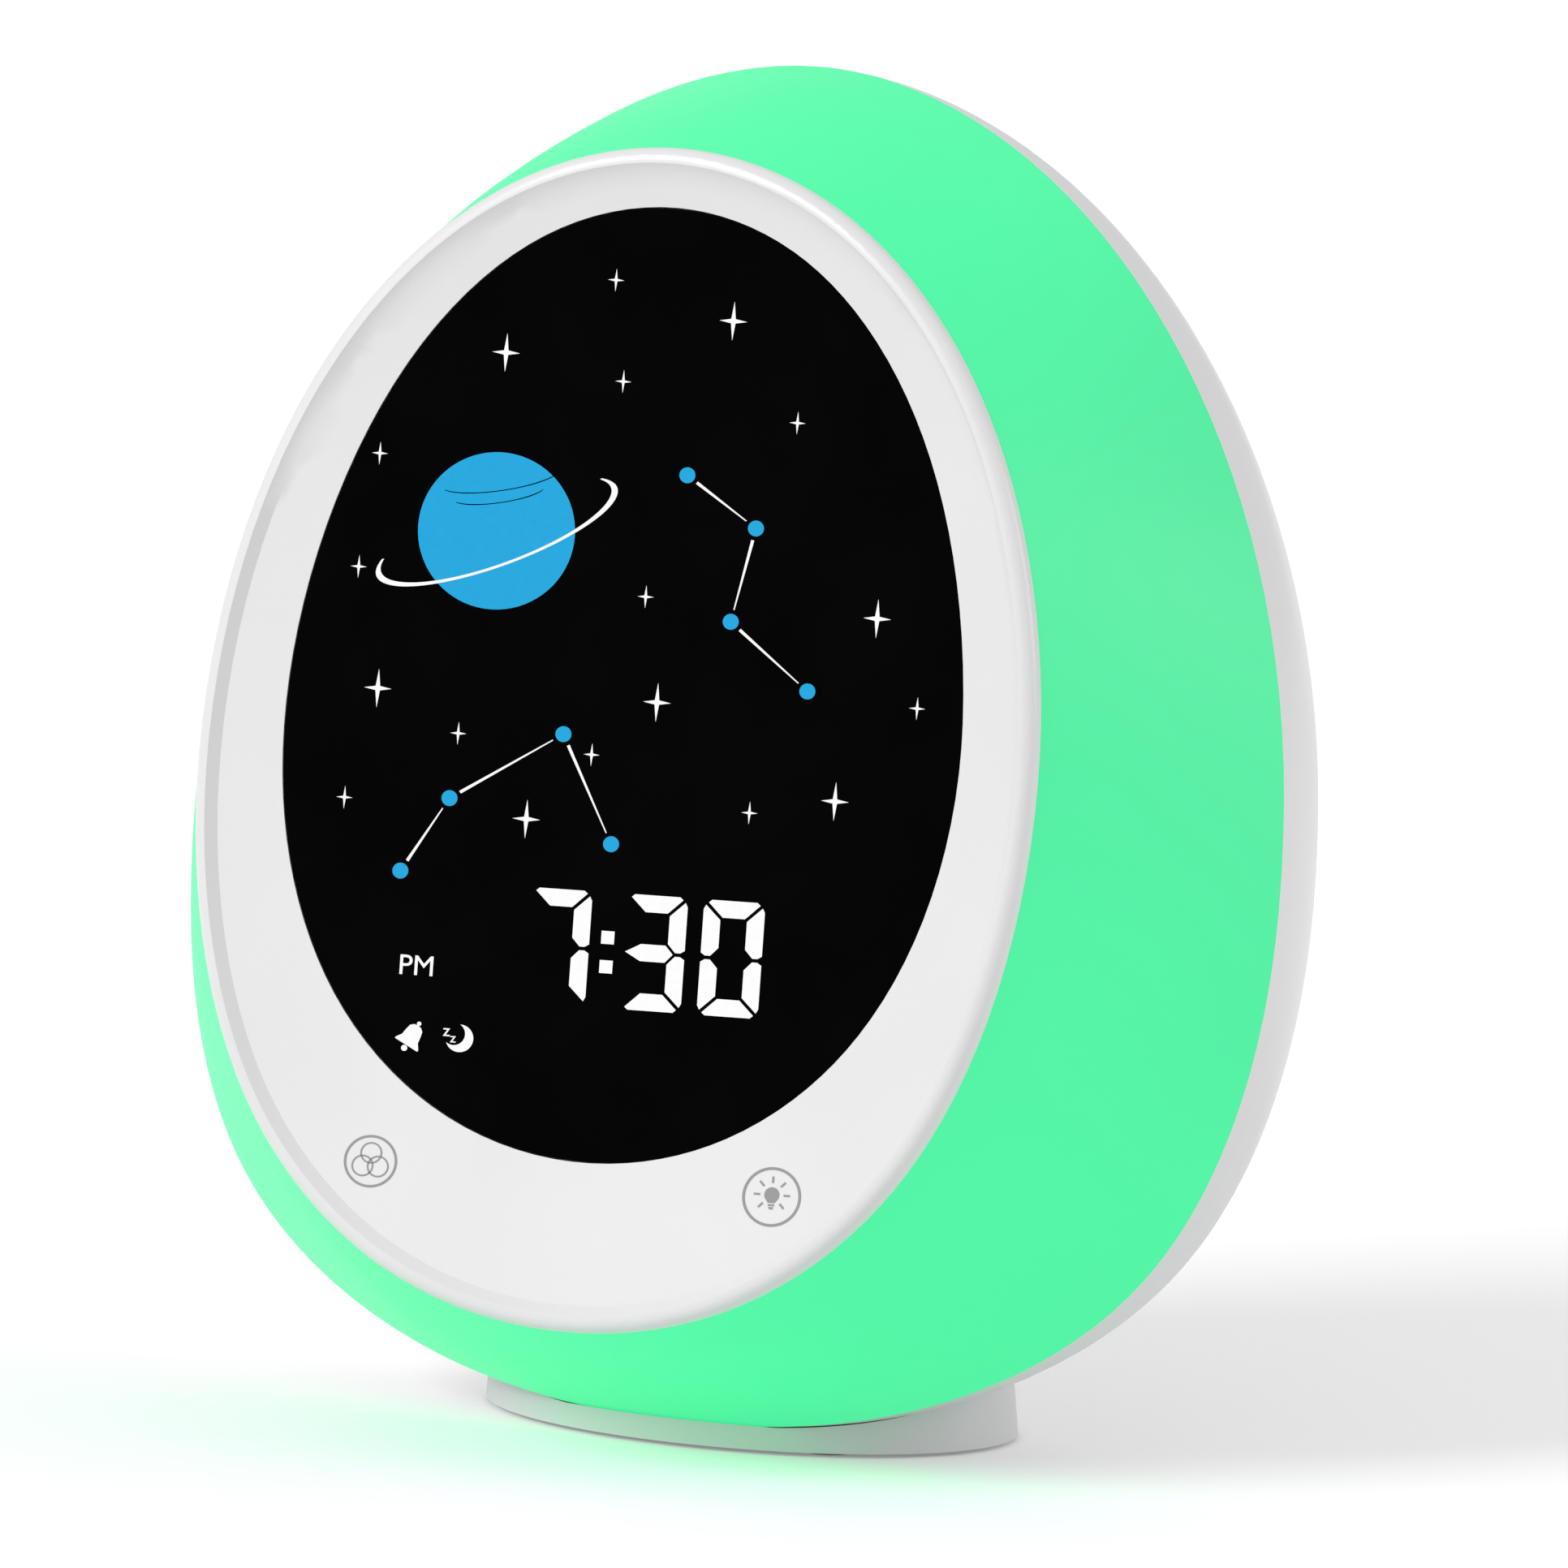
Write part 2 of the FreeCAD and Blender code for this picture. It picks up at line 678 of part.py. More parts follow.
def ring_lamps():
    width, height, breadth = lamp_size
    track = resized_egg(rim_egg, -ring_board_outer - breadth)
    lamps = []
    for i in range(lamp_count):
        angle = 360.0 * i / lamp_count
        place = egg_point(track, angle, ring_board_front + ring_board_thickness + 0.01)
        lamp = block(-breadth / 2.0, breadth / 2.0, 0.0, height, -width / 2.0, width / 2.0)
        lamp.rotate(origin, back_axis, -angle)
        lamp.translate(place)
        lamps.append(lamp)
    return Part.makeCompound(lamps)


def light_reflector():
    small = resized_egg(rim_egg, -reflector_small_inset)
    large = resized_egg(seam_egg, -reflector_large_inset)
    back = flare_depth
    outer = egg_loft([(small, reflector_front), (large, back)])
    inner_small = resized_egg(small, -reflector_wall)
    inner_large = resized_egg(large, -reflector_wall)
    depth = back - reflector_front
    step = 0.2
    low = blended_egg(inner_small, inner_large, -step)
    high = blended_egg(inner_small, inner_large, 1.0 + step)
    inner = egg_loft([(low, reflector_front - step * depth), (high, back + step * depth)])
    flange_outer = resized_egg(seam_egg, -lip_inset - lip_wall - flange_gap)
    flange = egg_slab(flange_outer, back - flange_thickness / 2.0, back + flange_thickness)
    flange = flange.cut(egg_slab(resized_egg(flange_outer, -flange_width), back - 2.0, back + 3.0))
    cone = fused(outer.cut(inner), [flange])
    clear = tower_radius + reflector_boss_gap
    return cone.cut([rod(p.x, p.z, clear, reflector_front - 1.0, back + 3.0) for p in boss_places])


def touch_pad(place):
    return rod(place[0], place[1], touch_radius, bezel_back, bezel_back + touch_thickness)


def rear_key(x, z):
    cap_back = key_face + key_proud
    cap = rod(x, z, key_radius, key_flange_back - 0.3, cap_back)
    cap = cap.makeFillet(key_round, [e for e in cap.Edges if abs(e.CenterOfMass.y - cap_back) < 1e-6])
    flange = rod(x, z, key_flange_radius, key_flange_front, key_flange_back)
    return fused(cap, [flange])


def key_board():
    board = block(-key_board_half, key_board_half, key_board_front, key_board_back, key_board_bottom,
                  key_board_top)
    return board.cut([rod(x, z, board_screw_radius + 0.15, 0.0, back_plane) for x, z in key_posts])


def key_switches():
    half = switch_size / 2.0
    group = []
    for x, z in key_places:
        base = block(x - half, x + half, key_board_back + 0.01, key_board_back + switch_height, z - half, z + half)
        plunger = rod(x, z, switch_plunger_radius, key_board_back + switch_height - 0.1, switch_top)
        group.append(fused(base, [plunger]))
    return Part.makeCompound(group)


def speaker_frame():
    x, z = speaker_center
    top = inner_back - 0.1
    profile = [(0.0, -speaker_depth + magnet_depth), (magnet_radius, -speaker_depth + magnet_depth),
               (speaker_radius - speaker_rim, -2.2), (speaker_radius, -2.2), (speaker_radius, 0.0),
               (speaker_radius - speaker_rim, 0.0), (magnet_radius - 1.0, -speaker_depth + magnet_depth + 1.2),
               (0.0, -speaker_depth + magnet_depth + 1.2)]
    return revolved(profile, x, z, top)


def revolved(profile, x, z, back):
    points = [Vector(r, depth, 0) for r, depth in profile]
    face = Part.Face(Part.makePolygon(points + [points[0]]))
    solid = face.revolve(origin, back_axis, 360)
    solid.translate(Vector(x, back, z))
    return solid


def speaker_cone():
    x, z = speaker_center
    top = inner_back - 0.1
    bottom = -speaker_depth + magnet_depth + 1.6
    outer = speaker_radius - speaker_rim - surround_width
    profile = [(0.0, bottom + 3.2), (dust_cap_radius * 0.6, bottom + 2.8), (dust_cap_radius, bottom + 1.0),
               (outer, -0.6), (outer, -0.6 - cone_wall * 1.6), (dust_cap_radius, bottom),
               (0.0, bottom)]
    return revolved(profile, x, z, top)


def speaker_magnet():
    x, z = speaker_center
    front = inner_back - 0.1 - speaker_depth
    body = rod(x, z, magnet_radius, front, front + magnet_depth - 0.05)
    return body.makeChamfer(0.5, [e for e in body.Edges if abs(e.CenterOfMass.y - front) < 1e-6])


def main_board():
    board = block(-main_board_half, main_board_half, main_board_front, main_board_front + board_thickness,
                  main_board_bottom, main_board_top)
    return board.cut([rod(x, z, board_screw_radius + 0.15, 0.0, back_plane) for x, z in main_posts])


def main_components():
    group = []
    for x, z, width, height, thick in main_chips:
        group.append(block(x - width / 2.0, x + width / 2.0, main_board_front - thick, main_board_front - 0.01,
                           z - height / 2.0, z + height / 2.0))
    face = main_board_front + board_thickness + 0.01
    for x, z in capacitor_places:
        group.append(rod(x, z, capacitor_radius, face, face + capacitor_height))
    return Part.makeCompound(group)


def battery_door():
    pivot_z, pivot_y = hinge_line()
    inner = back_plane - door_thickness
    half = bay_half - door_gap
    panel = block(-half, half, inner, back_plane, pivot_z, bay_top - door_gap)
    barrel = Part.makeCylinder(barrel_radius, 2.0 * half, Vector(-half, pivot_y, pivot_z), Vector(1, 0, 0))
    pin = Part.makeCylinder(hinge_pin_radius, 2.0 * (half + hinge_pin_length), Vector(-half - hinge_pin_length,
                            pivot_y, pivot_z), Vector(1, 0, 0))
    ribs = [block(x - 0.6, x + 0.6, inner - door_rib_height, inner + 0.3, pivot_z + 7.0, bay_top - 3.0)
            for x in door_rib_places]
    door = panel.fuse([barrel, pin] + ribs)
    finger = Part.makeSphere(finger_radius, Vector(0, back_plane + finger_radius - finger_depth, bay_top + 0.6))
    return door.cut(finger)


bay_middle = 0.5 * (bay_bottom + bay_top)


def battery_cell(index):
    z = bay_middle + (index - 1) * cell_pitch
    side = 1.0 if index % 2 == 0 else -1.0
    total = cell_body + cell_nub
    body = Part.makeCylinder(cell_radius, cell_body, Vector(-side * total / 2.0, cell_depth, z), Vector(side, 0, 0))
    body = body.makeFillet(cell_round, [e for e in body.Edges if len(e.Vertexes) == 1])
    nub = Part.makeCylinder(cell_nub_radius, cell_nub + 0.1, Vector(side * (total / 2.0 - cell_nub - 0.1),
                            cell_depth, z), Vector(side, 0, 0))
    return fused(body, [nub])


def battery_contacts(side):
    wall = side * (bay_half - 0.05)
    face = wall - side * contact_thickness
    plate = block(min(wall, face), max(wall, face), cell_depth - contact_height, cell_depth + contact_height,
                  bay_bottom + 3.2, bay_top - 1.0)
    leaves = []
    thick = side * contact_thickness * 1.5
    tip = face - side * contact_bulge
    for index in range(3):
        z = bay_middle + (index - 1) * cell_pitch
        corners = [(face, -contact_half), (tip, 0.0), (face, contact_half),
                   (face, contact_half - 0.6), (tip + thick, 0.0), (face, -contact_half + 0.6)]
        points = [Vector(x, cell_depth - contact_height / 2.0, z + dz) for x, dz in corners]
        face_shape = Part.Face(Part.makePolygon(points + [points[0]]))
        leaves.append(face_shape.extrude(Vector(0, contact_height, 0)))
    return fused(plate, leaves)


def power_inlet():
    half_width = inlet_width / 2.0
    half_height = inlet_height / 2.0
    front = inlet_back - inlet_depth
    shell = rounded_block(inlet_x - half_width, inlet_x + half_width, front, inlet_back,
                          inlet_row - half_height, inlet_row + half_height, 0.9)
    hollow = rounded_block(inlet_x - half_width + inlet_wall, inlet_x + half_width - inlet_wall, front + 1.0,
                           inlet_back + 1.0, inlet_row - half_height + inlet_wall,
                           inlet_row + half_height - inlet_wall, 0.6)
    tongue = block(inlet_x - half_width + 1.2, inlet_x + half_width - 1.2, front + 0.5, inlet_back - 0.8,
                   inlet_row - 0.35, inlet_row + 0.35)
    return fused(shell.cut(hollow), [tongue])


def inlet_board():
    return block(inlet_x - inlet_board_width / 2.0, inlet_x + inlet_board_width / 2.0, inlet_board_front,
                 inlet_board_back, inlet_board_low, inlet_board_low + inlet_board_thickness)


def display_ribbon():
    start = display_board_front + board_thickness + ribbon_end_gap
    end = main_board_front - ribbon_end_gap
    r = ribbon_bend
    k = r * (1.0 - math.sqrt(0.5))
    low = ribbon_low
    high = ribbon_high
    turn = ribbon_turn
    runs = [Part.LineSegment(Vector(0, start, low), Vector(0, turn - r, low)),
            Part.Arc(Vector(0, turn - r, low), Vector(0, turn - k, low + k), Vector(0, turn, low + r)),
            Part.LineSegment(Vector(0, turn, low + r), Vector(0, turn, high - r)),
            Part.Arc(Vector(0, turn, high - r), Vector(0, turn + k, high - k), Vector(0, turn + r, high)),
            Part.LineSegment(Vector(0, turn + r, high), Vector(0, end, high))]
    path = Part.Wire([run.toShape() for run in runs])
    half = ribbon_width / 2.0
    thick = ribbon_thickness / 2.0
    corners = [Vector(-half, start, low - thick), Vector(half, start, low - thick),
               Vector(half, start, low + thick), Vector(-half, start, low + thick)]
    section = Part.makePolygon(corners + [corners[0]])
    return path.makePipeShell([section], True, False)


def foot_screws():
    group = []
    for side in (-1.0, 1.0):
        seat = pad_proud + foot_screw_head_height + 0.15
        place = Vector(side * foot_screw_x, foot_center, seat)
        head = Part.makeCylinder(foot_screw_head, foot_screw_head_height, place - Vector(0, 0, foot_screw_head_height))
        shank = Part.makeCylinder(screw_radius, foot_screw_top - seat, place)
        group.append(fused(head, [shank]))
    return Part.makeCompound(group)


nodes["front_bezel"] = front_bezel()
nodes["display_lens"] = display_lens()
nodes["lens_tape"] = lens_tape()
nodes["segment_box"] = segment_box()
nodes["display_board"] = display_board()
nodes["display_board_screws"] = board_screws([(p.x, p.z) for p in post_places],
                                             display_board_front + board_thickness, -1)
nodes["touch_pad_left"] = touch_pad(touch_left)
nodes["touch_pad_right"] = touch_pad(touch_right)
nodes["light_ring_board"] = ring_board()
nodes["light_ring_lamps"] = ring_lamps()
nodes["light_reflector"] = light_reflector()
nodes["diffuser_ring"] = diffuser_ring()
nodes["rear_housing"] = rear_housing()
nodes["case_screws"] = case_screws()
nodes["main_board"] = main_board()
nodes["main_board_components"] = main_components()
nodes["main_board_screws"] = board_screws(main_posts, main_board_front, 1)
nodes["display_ribbon"] = display_ribbon()
nodes["key_board"] = key_board()
nodes["key_board_screws"] = board_screws(key_posts, key_board_front, 1)
nodes["key_switches"] = key_switches()
nodes["speaker_frame"] = speaker_frame()
nodes["speaker_cone"] = speaker_cone()
nodes["speaker_magnet"] = speaker_magnet()
nodes["power_inlet"] = power_inlet()
nodes["inlet_board"] = inlet_board()
nodes["battery_door"] = battery_door()
nodes["battery_contacts_left"] = battery_contacts(-1.0)
nodes["battery_contacts_right"] = battery_contacts(1.0)
for cell_index in range(3):
    nodes["battery_cell_%d" % (cell_index + 1)] = battery_cell(cell_index)
for (key_x, key_z), key_name in zip(key_places, key_names):
    nodes["key_" + key_name] = rear_key(key_x, key_z)

placed = {name: turn_to_world(shape) for name, shape in nodes.items()}
placed["base_foot"] = base_foot()
placed["foot_screws"] = foot_screws()
for pad_index, (pad_x, pad_y) in enumerate(pad_places):
    placed["foot_pad_%d" % (pad_index + 1)] = foot_pad(pad_x, pad_y)

# The middle of the whole clock, front to back, becomes the zero of Y
front_reach = placed["front_bezel"].optimalBoundingBox(False, False).YMin
back_reach = max(placed["key_" + name].optimalBoundingBox(False, False).YMax for name in key_names)
back_reach = max(back_reach, placed["rear_housing"].optimalBoundingBox(False, False).YMax)
y_shift = -0.5 * (front_reach + back_reach)
hinge_z, hinge_y = hinge_line()
hinge_world = Vector(0, hinge_z * lean_sin + hinge_y * lean_cos, hinge_z * lean_cos - hinge_y * lean_sin)

os.makedirs("parts", exist_ok=True)
for name, shape in placed.items():
    shape.translate(Vector(0, y_shift, 0))
    shape.exportStep("parts/%s.step" % name)

print("nodes", len(placed))
print("face middle height %.3f, shift in y %.3f" % (face_height, y_shift))
print("door hinge line y %.3f z %.3f" % (hinge_world.y + y_shift, hinge_world.z + face_height))
whole = Part.makeCompound(list(placed.values())).optimalBoundingBox(False, False)
print("box x %.2f %.2f y %.2f %.2f z %.2f %.2f" % (whole.XMin, whole.XMax, whole.YMin, whole.YMax,
                                                   whole.ZMin, whole.ZMax))
for name, shape in placed.items():
    if not shape.isValid() or shape.Volume <= 0:
        print("bad solid", name, shape.Volume)
    print("%-24s solids %d volume %.1f" % (name, len(shape.Solids), shape.Volume))
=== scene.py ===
import json
import math

import bpy
from mathutils import Matrix, Vector
from mathutils.bvhtree import BVHTree


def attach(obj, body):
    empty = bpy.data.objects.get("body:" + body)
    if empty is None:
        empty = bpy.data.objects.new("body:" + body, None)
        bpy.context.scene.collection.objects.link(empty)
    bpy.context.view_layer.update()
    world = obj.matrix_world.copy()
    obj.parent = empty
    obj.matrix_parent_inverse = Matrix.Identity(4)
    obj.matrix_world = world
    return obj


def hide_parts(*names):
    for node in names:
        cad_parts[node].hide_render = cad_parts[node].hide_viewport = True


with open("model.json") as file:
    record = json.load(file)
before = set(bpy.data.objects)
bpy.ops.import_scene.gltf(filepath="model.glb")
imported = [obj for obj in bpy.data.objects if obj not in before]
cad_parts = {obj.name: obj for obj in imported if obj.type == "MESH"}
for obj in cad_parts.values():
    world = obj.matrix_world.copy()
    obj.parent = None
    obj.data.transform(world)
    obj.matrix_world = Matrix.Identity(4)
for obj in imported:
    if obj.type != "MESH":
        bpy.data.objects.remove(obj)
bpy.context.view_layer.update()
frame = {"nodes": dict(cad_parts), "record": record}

MM = 0.001

# Stance of the face, as the frame has it
LEAN = math.radians(12.0)
FACE_HEIGHT = 87.534 * MM
FACE_SHIFT = -26.008 * MM
ALONG = Vector((1.0, 0.0, 0.0))
BACKWARD = Vector((0.0, math.cos(LEAN), -math.sin(LEAN)))
UPWARD = Vector((0.0, math.sin(LEAN), math.cos(LEAN)))
FACE_ORIGIN = Vector((0.0, FACE_SHIFT, FACE_HEIGHT))
FACE_MATRIX = Matrix((
    (ALONG.x, UPWARD.x, -BACKWARD.x, FACE_ORIGIN.x),
    (ALONG.y, UPWARD.y, -BACKWARD.y, FACE_ORIGIN.y),
    (ALONG.z, UPWARD.z, -BACKWARD.z, FACE_ORIGIN.z),
    (0.0, 0.0, 0.0, 1.0),
))


def face_point(x, up, depth):
    """A point given in millimetres across, up and behind the lens front."""
    return FACE_ORIGIN + (ALONG * x + UPWARD * up + BACKWARD * depth) * MM


# Colours as they look, turned to what the shaders need
def shade(red, green, blue):
    def one(value):
        value = value / 255.0
        return value / 12.92 if value <= 0.04045 else ((value + 0.055) / 1.055) ** 2.4
    return (one(red), one(green), one(blue), 1.0)


GLOW_LEVEL = 0.61
GLOW_GREEN = shade(70, 252, 168)
# The darker green of the painted shade on the upper right of the glowing band
GLOW_SHADE = shade(72, 224, 152)
SHELL_WHITE = shade(217, 217, 217)
FOOT_WHITE = shade(216, 216, 217)
PICTURE_BLUE = shade(43, 171, 226)
PRINT_GREY = shade(139, 139, 139)
KEY_GREY = shade(196, 198, 201)
STEEL = shade(170, 172, 176)
RUBBER_GREY = shade(150, 150, 152)
LENS_BLACK = (0.0004, 0.0004, 0.0005, 1.0)
LENS_HAZE = (0.0008, 0.0008, 0.001, 1.0)
WHITE = (1.0, 1.0, 1.0, 1.0)
BLACK = (0.0, 0.0, 0.0, 1.0)

# Grain of the finishes, in waves per metre, and how high it stands, in metres
CLOUD_SCALE = 28.0
SPARK_GRAIN_SCALE = 5200.0
DIFFUSER_CLOUD_SCALE = 14.0
DIFFUSER_GRAIN_SCALE = 4200.0
FILM_GRAIN_SCALE = 900.0
LENS_HAZE_SCALE = 60.0
LENS_WAVE_SCALE = 35.0
BRUSH_SCALE = 1800.0
FLOOR_CLOUD_SCALE = 6.0
GRAIN_HEIGHT = 0.00002
LENS_WAVE_HEIGHT = 0.00005

# Painted shade: the glowing band's colour is darkened towards the upper right, between these places in metres
PAINTED_SHADE_ACROSS = (0.030, 0.078)
PAINTED_SHADE_UP = (0.030, 0.120)
GLOW_CLOUD_SHARE = 0.08


def new_material(name):
    """An empty material with its node tree and main shader."""
    material = bpy.data.materials.new(name)
    material.use_nodes = True
    tree = material.node_tree
    shader = tree.nodes["Principled BSDF"]
    return material, tree, shader


def noise(tree, scale, detail=3.0, roughness=0.5):
    """Cloudy noise laid out by the object's own coordinates."""
    place = tree.nodes.new("ShaderNodeTexCoord")
    texture = tree.nodes.new("ShaderNodeTexNoise")
    texture.inputs["Scale"].default_value = scale
    texture.inputs["Detail"].default_value = detail
    texture.inputs["Roughness"].default_value = roughness
    tree.links.new(place.outputs["Object"], texture.inputs["Vector"])
    return texture


def ramp(tree, source, low, high, from_low=0.35, from_high=0.65):
    """Stretches a value from one range to another."""
    node = tree.nodes.new("ShaderNodeMapRange")
    node.inputs["From Min"].default_value = from_low
    node.inputs["From Max"].default_value = from_high
    node.inputs["To Min"].default_value = low
    node.inputs["To Max"].default_value = high
    tree.links.new(source, node.inputs["Value"])
    return node.outputs["Result"]


def colour_mix(tree, source, first, second, low=0.3, high=0.7):
    """Goes from one colour to another as the source rises."""
    node = tree.nodes.new("ShaderNodeValToRGB")
    node.color_ramp.elements[0].position = low
    node.color_ramp.elements[0].color = first
    node.color_ramp.elements[1].position = high
    node.color_ramp.elements[1].color = second
    tree.links.new(source, node.inputs["Fac"])
    return node.outputs["Color"]


def bump(tree, shader, source, strength, distance):
    """Lets a pattern stand up a little from the surface."""
    node = tree.nodes.new("ShaderNodeBump")
    node.inputs["Strength"].default_value = strength
    node.inputs["Distance"].default_value = distance
    tree.links.new(source, node.inputs["Height"])
    tree.links.new(node.outputs["Normal"], shader.inputs["Normal"])


def darker(colour, share):
    """The same colour with a share of its light."""
    return (colour[0] * share, colour[1] * share, colour[2] * share, 1.0)


def moulded_plastic(name, colour, rough_low, rough_high, grain=0.04, coat=0.0):
    """Moulded plastic: faint cloudy tone, a fine spark-eroded grain and uneven polish."""
    material, tree, shader = new_material(name)
    cloud = noise(tree, CLOUD_SCALE, 2.0)
    grains = noise(tree, SPARK_GRAIN_SCALE, 2.0, 0.6)
    tint = colour_mix(tree, cloud.outputs["Fac"], darker(colour, 0.975), colour)
    tree.links.new(tint, shader.inputs["Base Color"])
    tree.links.new(ramp(tree, cloud.outputs["Fac"], rough_low, rough_high), shader.inputs["Roughness"])
    bump(tree, shader, grains.outputs["Fac"], grain, GRAIN_HEIGHT)
    shader.inputs["Coat Weight"].default_value = coat
    shader.inputs["Coat Roughness"].default_value = 0.12
    return material


def glowing_diffuser():
    """Milky plastic lit from inside: even glow, with painted shade that darkens the glow colour towards the
    upper right.
    """
    material, tree, shader = new_material("glowing_diffuser")
    place = tree.nodes.new("ShaderNodeTexCoord")
    parts = tree.nodes.new("ShaderNodeSeparateXYZ")
    tree.links.new(place.outputs["Object"], parts.inputs["Vector"])
    cloud = noise(tree, DIFFUSER_CLOUD_SCALE, 2.0)
    # Painted shade: a mask rising towards the upper right, with a little random cloud added, mixes the glow
    # colour towards the darker GLOW_SHADE
    sideways = ramp(tree, parts.outputs["X"], 0.0, 1.0, *PAINTED_SHADE_ACROSS)
    upwards = ramp(tree, parts.outputs["Z"], 0.0, 1.0, *PAINTED_SHADE_UP)
    painted_shade_mask = tree.nodes.new("ShaderNodeMath")
    painted_shade_mask.operation = "MULTIPLY"
    tree.links.new(sideways, painted_shade_mask.inputs[0])
    tree.links.new(upwards, painted_shade_mask.inputs[1])
    soft = tree.nodes.new("ShaderNodeMath")
    soft.operation = "MULTIPLY_ADD"
    soft.inputs[1].default_value = GLOW_CLOUD_SHARE
    tree.links.new(cloud.outputs["Fac"], soft.inputs[0])
    tree.links.new(painted_shade_mask.outputs["Value"], soft.inputs[2])
    tint = colour_mix(tree, soft.outputs["Value"], GLOW_GREEN, GLOW_SHADE, 0.08, 1.0)
    tree.links.new(tint, shader.inputs["Emission Color"])
    shader.inputs["Emission Strength"].default_value = GLOW_LEVEL
    base = colour_mix(tree, cloud.outputs["Fac"], darker(GLOW_GREEN, 0.30), darker(GLOW_GREEN, 0.36))
    tree.links.new(base, shader.inputs["Base Color"])
    tree.links.new(ramp(tree, cloud.outputs["Fac"], 0.42, 0.52), shader.inputs["Roughness"])
    bump(tree, shader, noise(tree, DIFFUSER_GRAIN_SCALE, 2.0).outputs["Fac"], 0.03, GRAIN_HEIGHT)
    return material


def lit_print(name, colour, level):
    """A lit shape behind the lens: even light with a faint grain, matt like frosted film."""
    material, tree, shader = new_material(name)
    grain = noise(tree, FILM_GRAIN_SCALE, 2.0)
    tint = colour_mix(tree, grain.outputs["Fac"], darker(colour, 0.97), colour)
    tree.links.new(tint, shader.inputs["Emission Color"])
    shader.inputs["Emission Strength"].default_value = level
    shader.inputs["Base Color"].default_value = BLACK
    tree.links.new(ramp(tree, grain.outputs["Fac"], 0.35, 0.5), shader.inputs["Roughness"])
    shader.inputs["Specular IOR Level"].default_value = 0.0
    return material


def smoked_lens():
    """Near-black acrylic with a faint haze and almost no mirror image."""
    material, tree, shader = new_material("smoked_lens")
    haze = noise(tree, LENS_HAZE_SCALE, 2.0)
    tint = colour_mix(tree, haze.outputs["Fac"], LENS_BLACK, LENS_HAZE)
    tree.links.new(tint, shader.inputs["Base Color"])
    tree.links.new(ramp(tree, haze.outputs["Fac"], 0.16, 0.22), shader.inputs["Roughness"])
    shader.inputs["Specular IOR Level"].default_value = 0.02
    bump(tree, shader, noise(tree, LENS_WAVE_SCALE, 1.0).outputs["Fac"], 0.01, LENS_WAVE_HEIGHT)
    return material


def brushed_metal(name, colour, roughness):
    """Plated or brushed steel with fine uneven streaks."""
    material, tree, shader = new_material(name)
    streak = noise(tree, BRUSH_SCALE, 3.0, 0.7)
    tint = colour_mix(tree, streak.outputs["Fac"], darker(colour, 0.85), colour)
    tree.links.new(tint, shader.inputs["Base Color"])
    shader.inputs["Metallic"].default_value = 1.0
    tree.links.new(ramp(tree, streak.outputs["Fac"], roughness, roughness + 0.15), shader.inputs["Roughness"])
    bump(tree, shader, streak.outputs["Fac"], 0.05, GRAIN_HEIGHT)
    return material


MATERIALS = {
    "white_shell": moulded_plastic("white_shell", SHELL_WHITE, 0.30, 0.40, 0.03, 0.15),
    "foot_shell": moulded_plastic("foot_shell", FOOT_WHITE, 0.42, 0.52, 0.05),
    "smoked_lens": smoked_lens(),
    "black_tape": moulded_plastic("black_tape", shade(30, 30, 31), 0.7, 0.8, 0.1),
    "white_inner": moulded_plastic("white_inner", shade(232, 234, 232), 0.5, 0.6, 0.05),
    "circuit_board": moulded_plastic("circuit_board", shade(30, 92, 58), 0.35, 0.5, 0.05, 0.2),
    "white_board": moulded_plastic("white_board", shade(228, 230, 226), 0.35, 0.5, 0.04),
    "screw_steel": brushed_metal("screw_steel", STEEL, 0.28),
    "copper_foil": brushed_metal("copper_foil", shade(200, 140, 92), 0.32),
    "lamp_lens": moulded_plastic("lamp_lens", shade(240, 232, 170), 0.15, 0.25, 0.02, 0.4),
    "green_diffuser": glowing_diffuser(),
    "black_parts": moulded_plastic("black_parts", shade(36, 36, 38), 0.5, 0.62, 0.08),
    "ribbon_grey": moulded_plastic("ribbon_grey", shade(190, 192, 194), 0.4, 0.5, 0.05),
    "speaker_steel": brushed_metal("speaker_steel", shade(88, 89, 92), 0.35),
    "speaker_paper": moulded_plastic("speaker_paper", shade(40, 40, 41), 0.8, 0.9, 0.3),
    "inlet_steel": brushed_metal("inlet_steel", shade(196, 197, 200), 0.22),
    "contact_steel": brushed_metal("contact_steel", shade(206, 207, 210), 0.24),
    "cell_wrap": moulded_plastic("cell_wrap", shade(52, 74, 110), 0.2, 0.3, 0.02, 0.5),
    "key_grey": moulded_plastic("key_grey", KEY_GREY, 0.42, 0.52, 0.06),
    "pad_rubber": moulded_plastic("pad_rubber", RUBBER_GREY, 0.75, 0.88, 0.25),
}
LIT_WHITE = lit_print("lit_white", WHITE, 1.0)
LIT_BLUE = lit_print("lit_blue", PICTURE_BLUE, 1.0)
LIT_GAP = lit_print("lit_gap", BLACK, 0.0)
INK_GREY = moulded_plastic("ink_grey", PRINT_GREY, 0.5, 0.6, 0.03)
INK_DARK = moulded_plastic("ink_dark", shade(120, 122, 126), 0.5, 0.6, 0.03)

SLOT_OF = {entry["node"]: entry["material_slot"] for entry in frame["record"]["subparts"]}
BODY_OF = {}
for body_name, members in frame["record"]["behaviour"]["bodies"].items():
    for member in members:
        BODY_OF[member] = body_name

for node_name, node_object in frame["nodes"].items():
    node_object.data.materials.clear()
    node_object.data.materials.append(MATERIALS[SLOT_OF[node_name]])


def only(piece):
    """Leaves one object selected and active."""
    bpy.ops.object.select_all(action="DESELECT")
    piece.select_set(True)
    bpy.context.view_layer.objects.active = piece


def dress(piece, name, material, body):
    """Names a finished piece, gives it its material, and says which body carries it."""
    piece.name = name
    piece.data.name = name
    piece.data.materials.clear()
    piece.data.materials.append(material)
    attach(piece, body)
    return piece


MERGE_GAP = 0.000004
CREASE_ANGLE = 32.0
LARGE_FACE_WEIGHT = 100


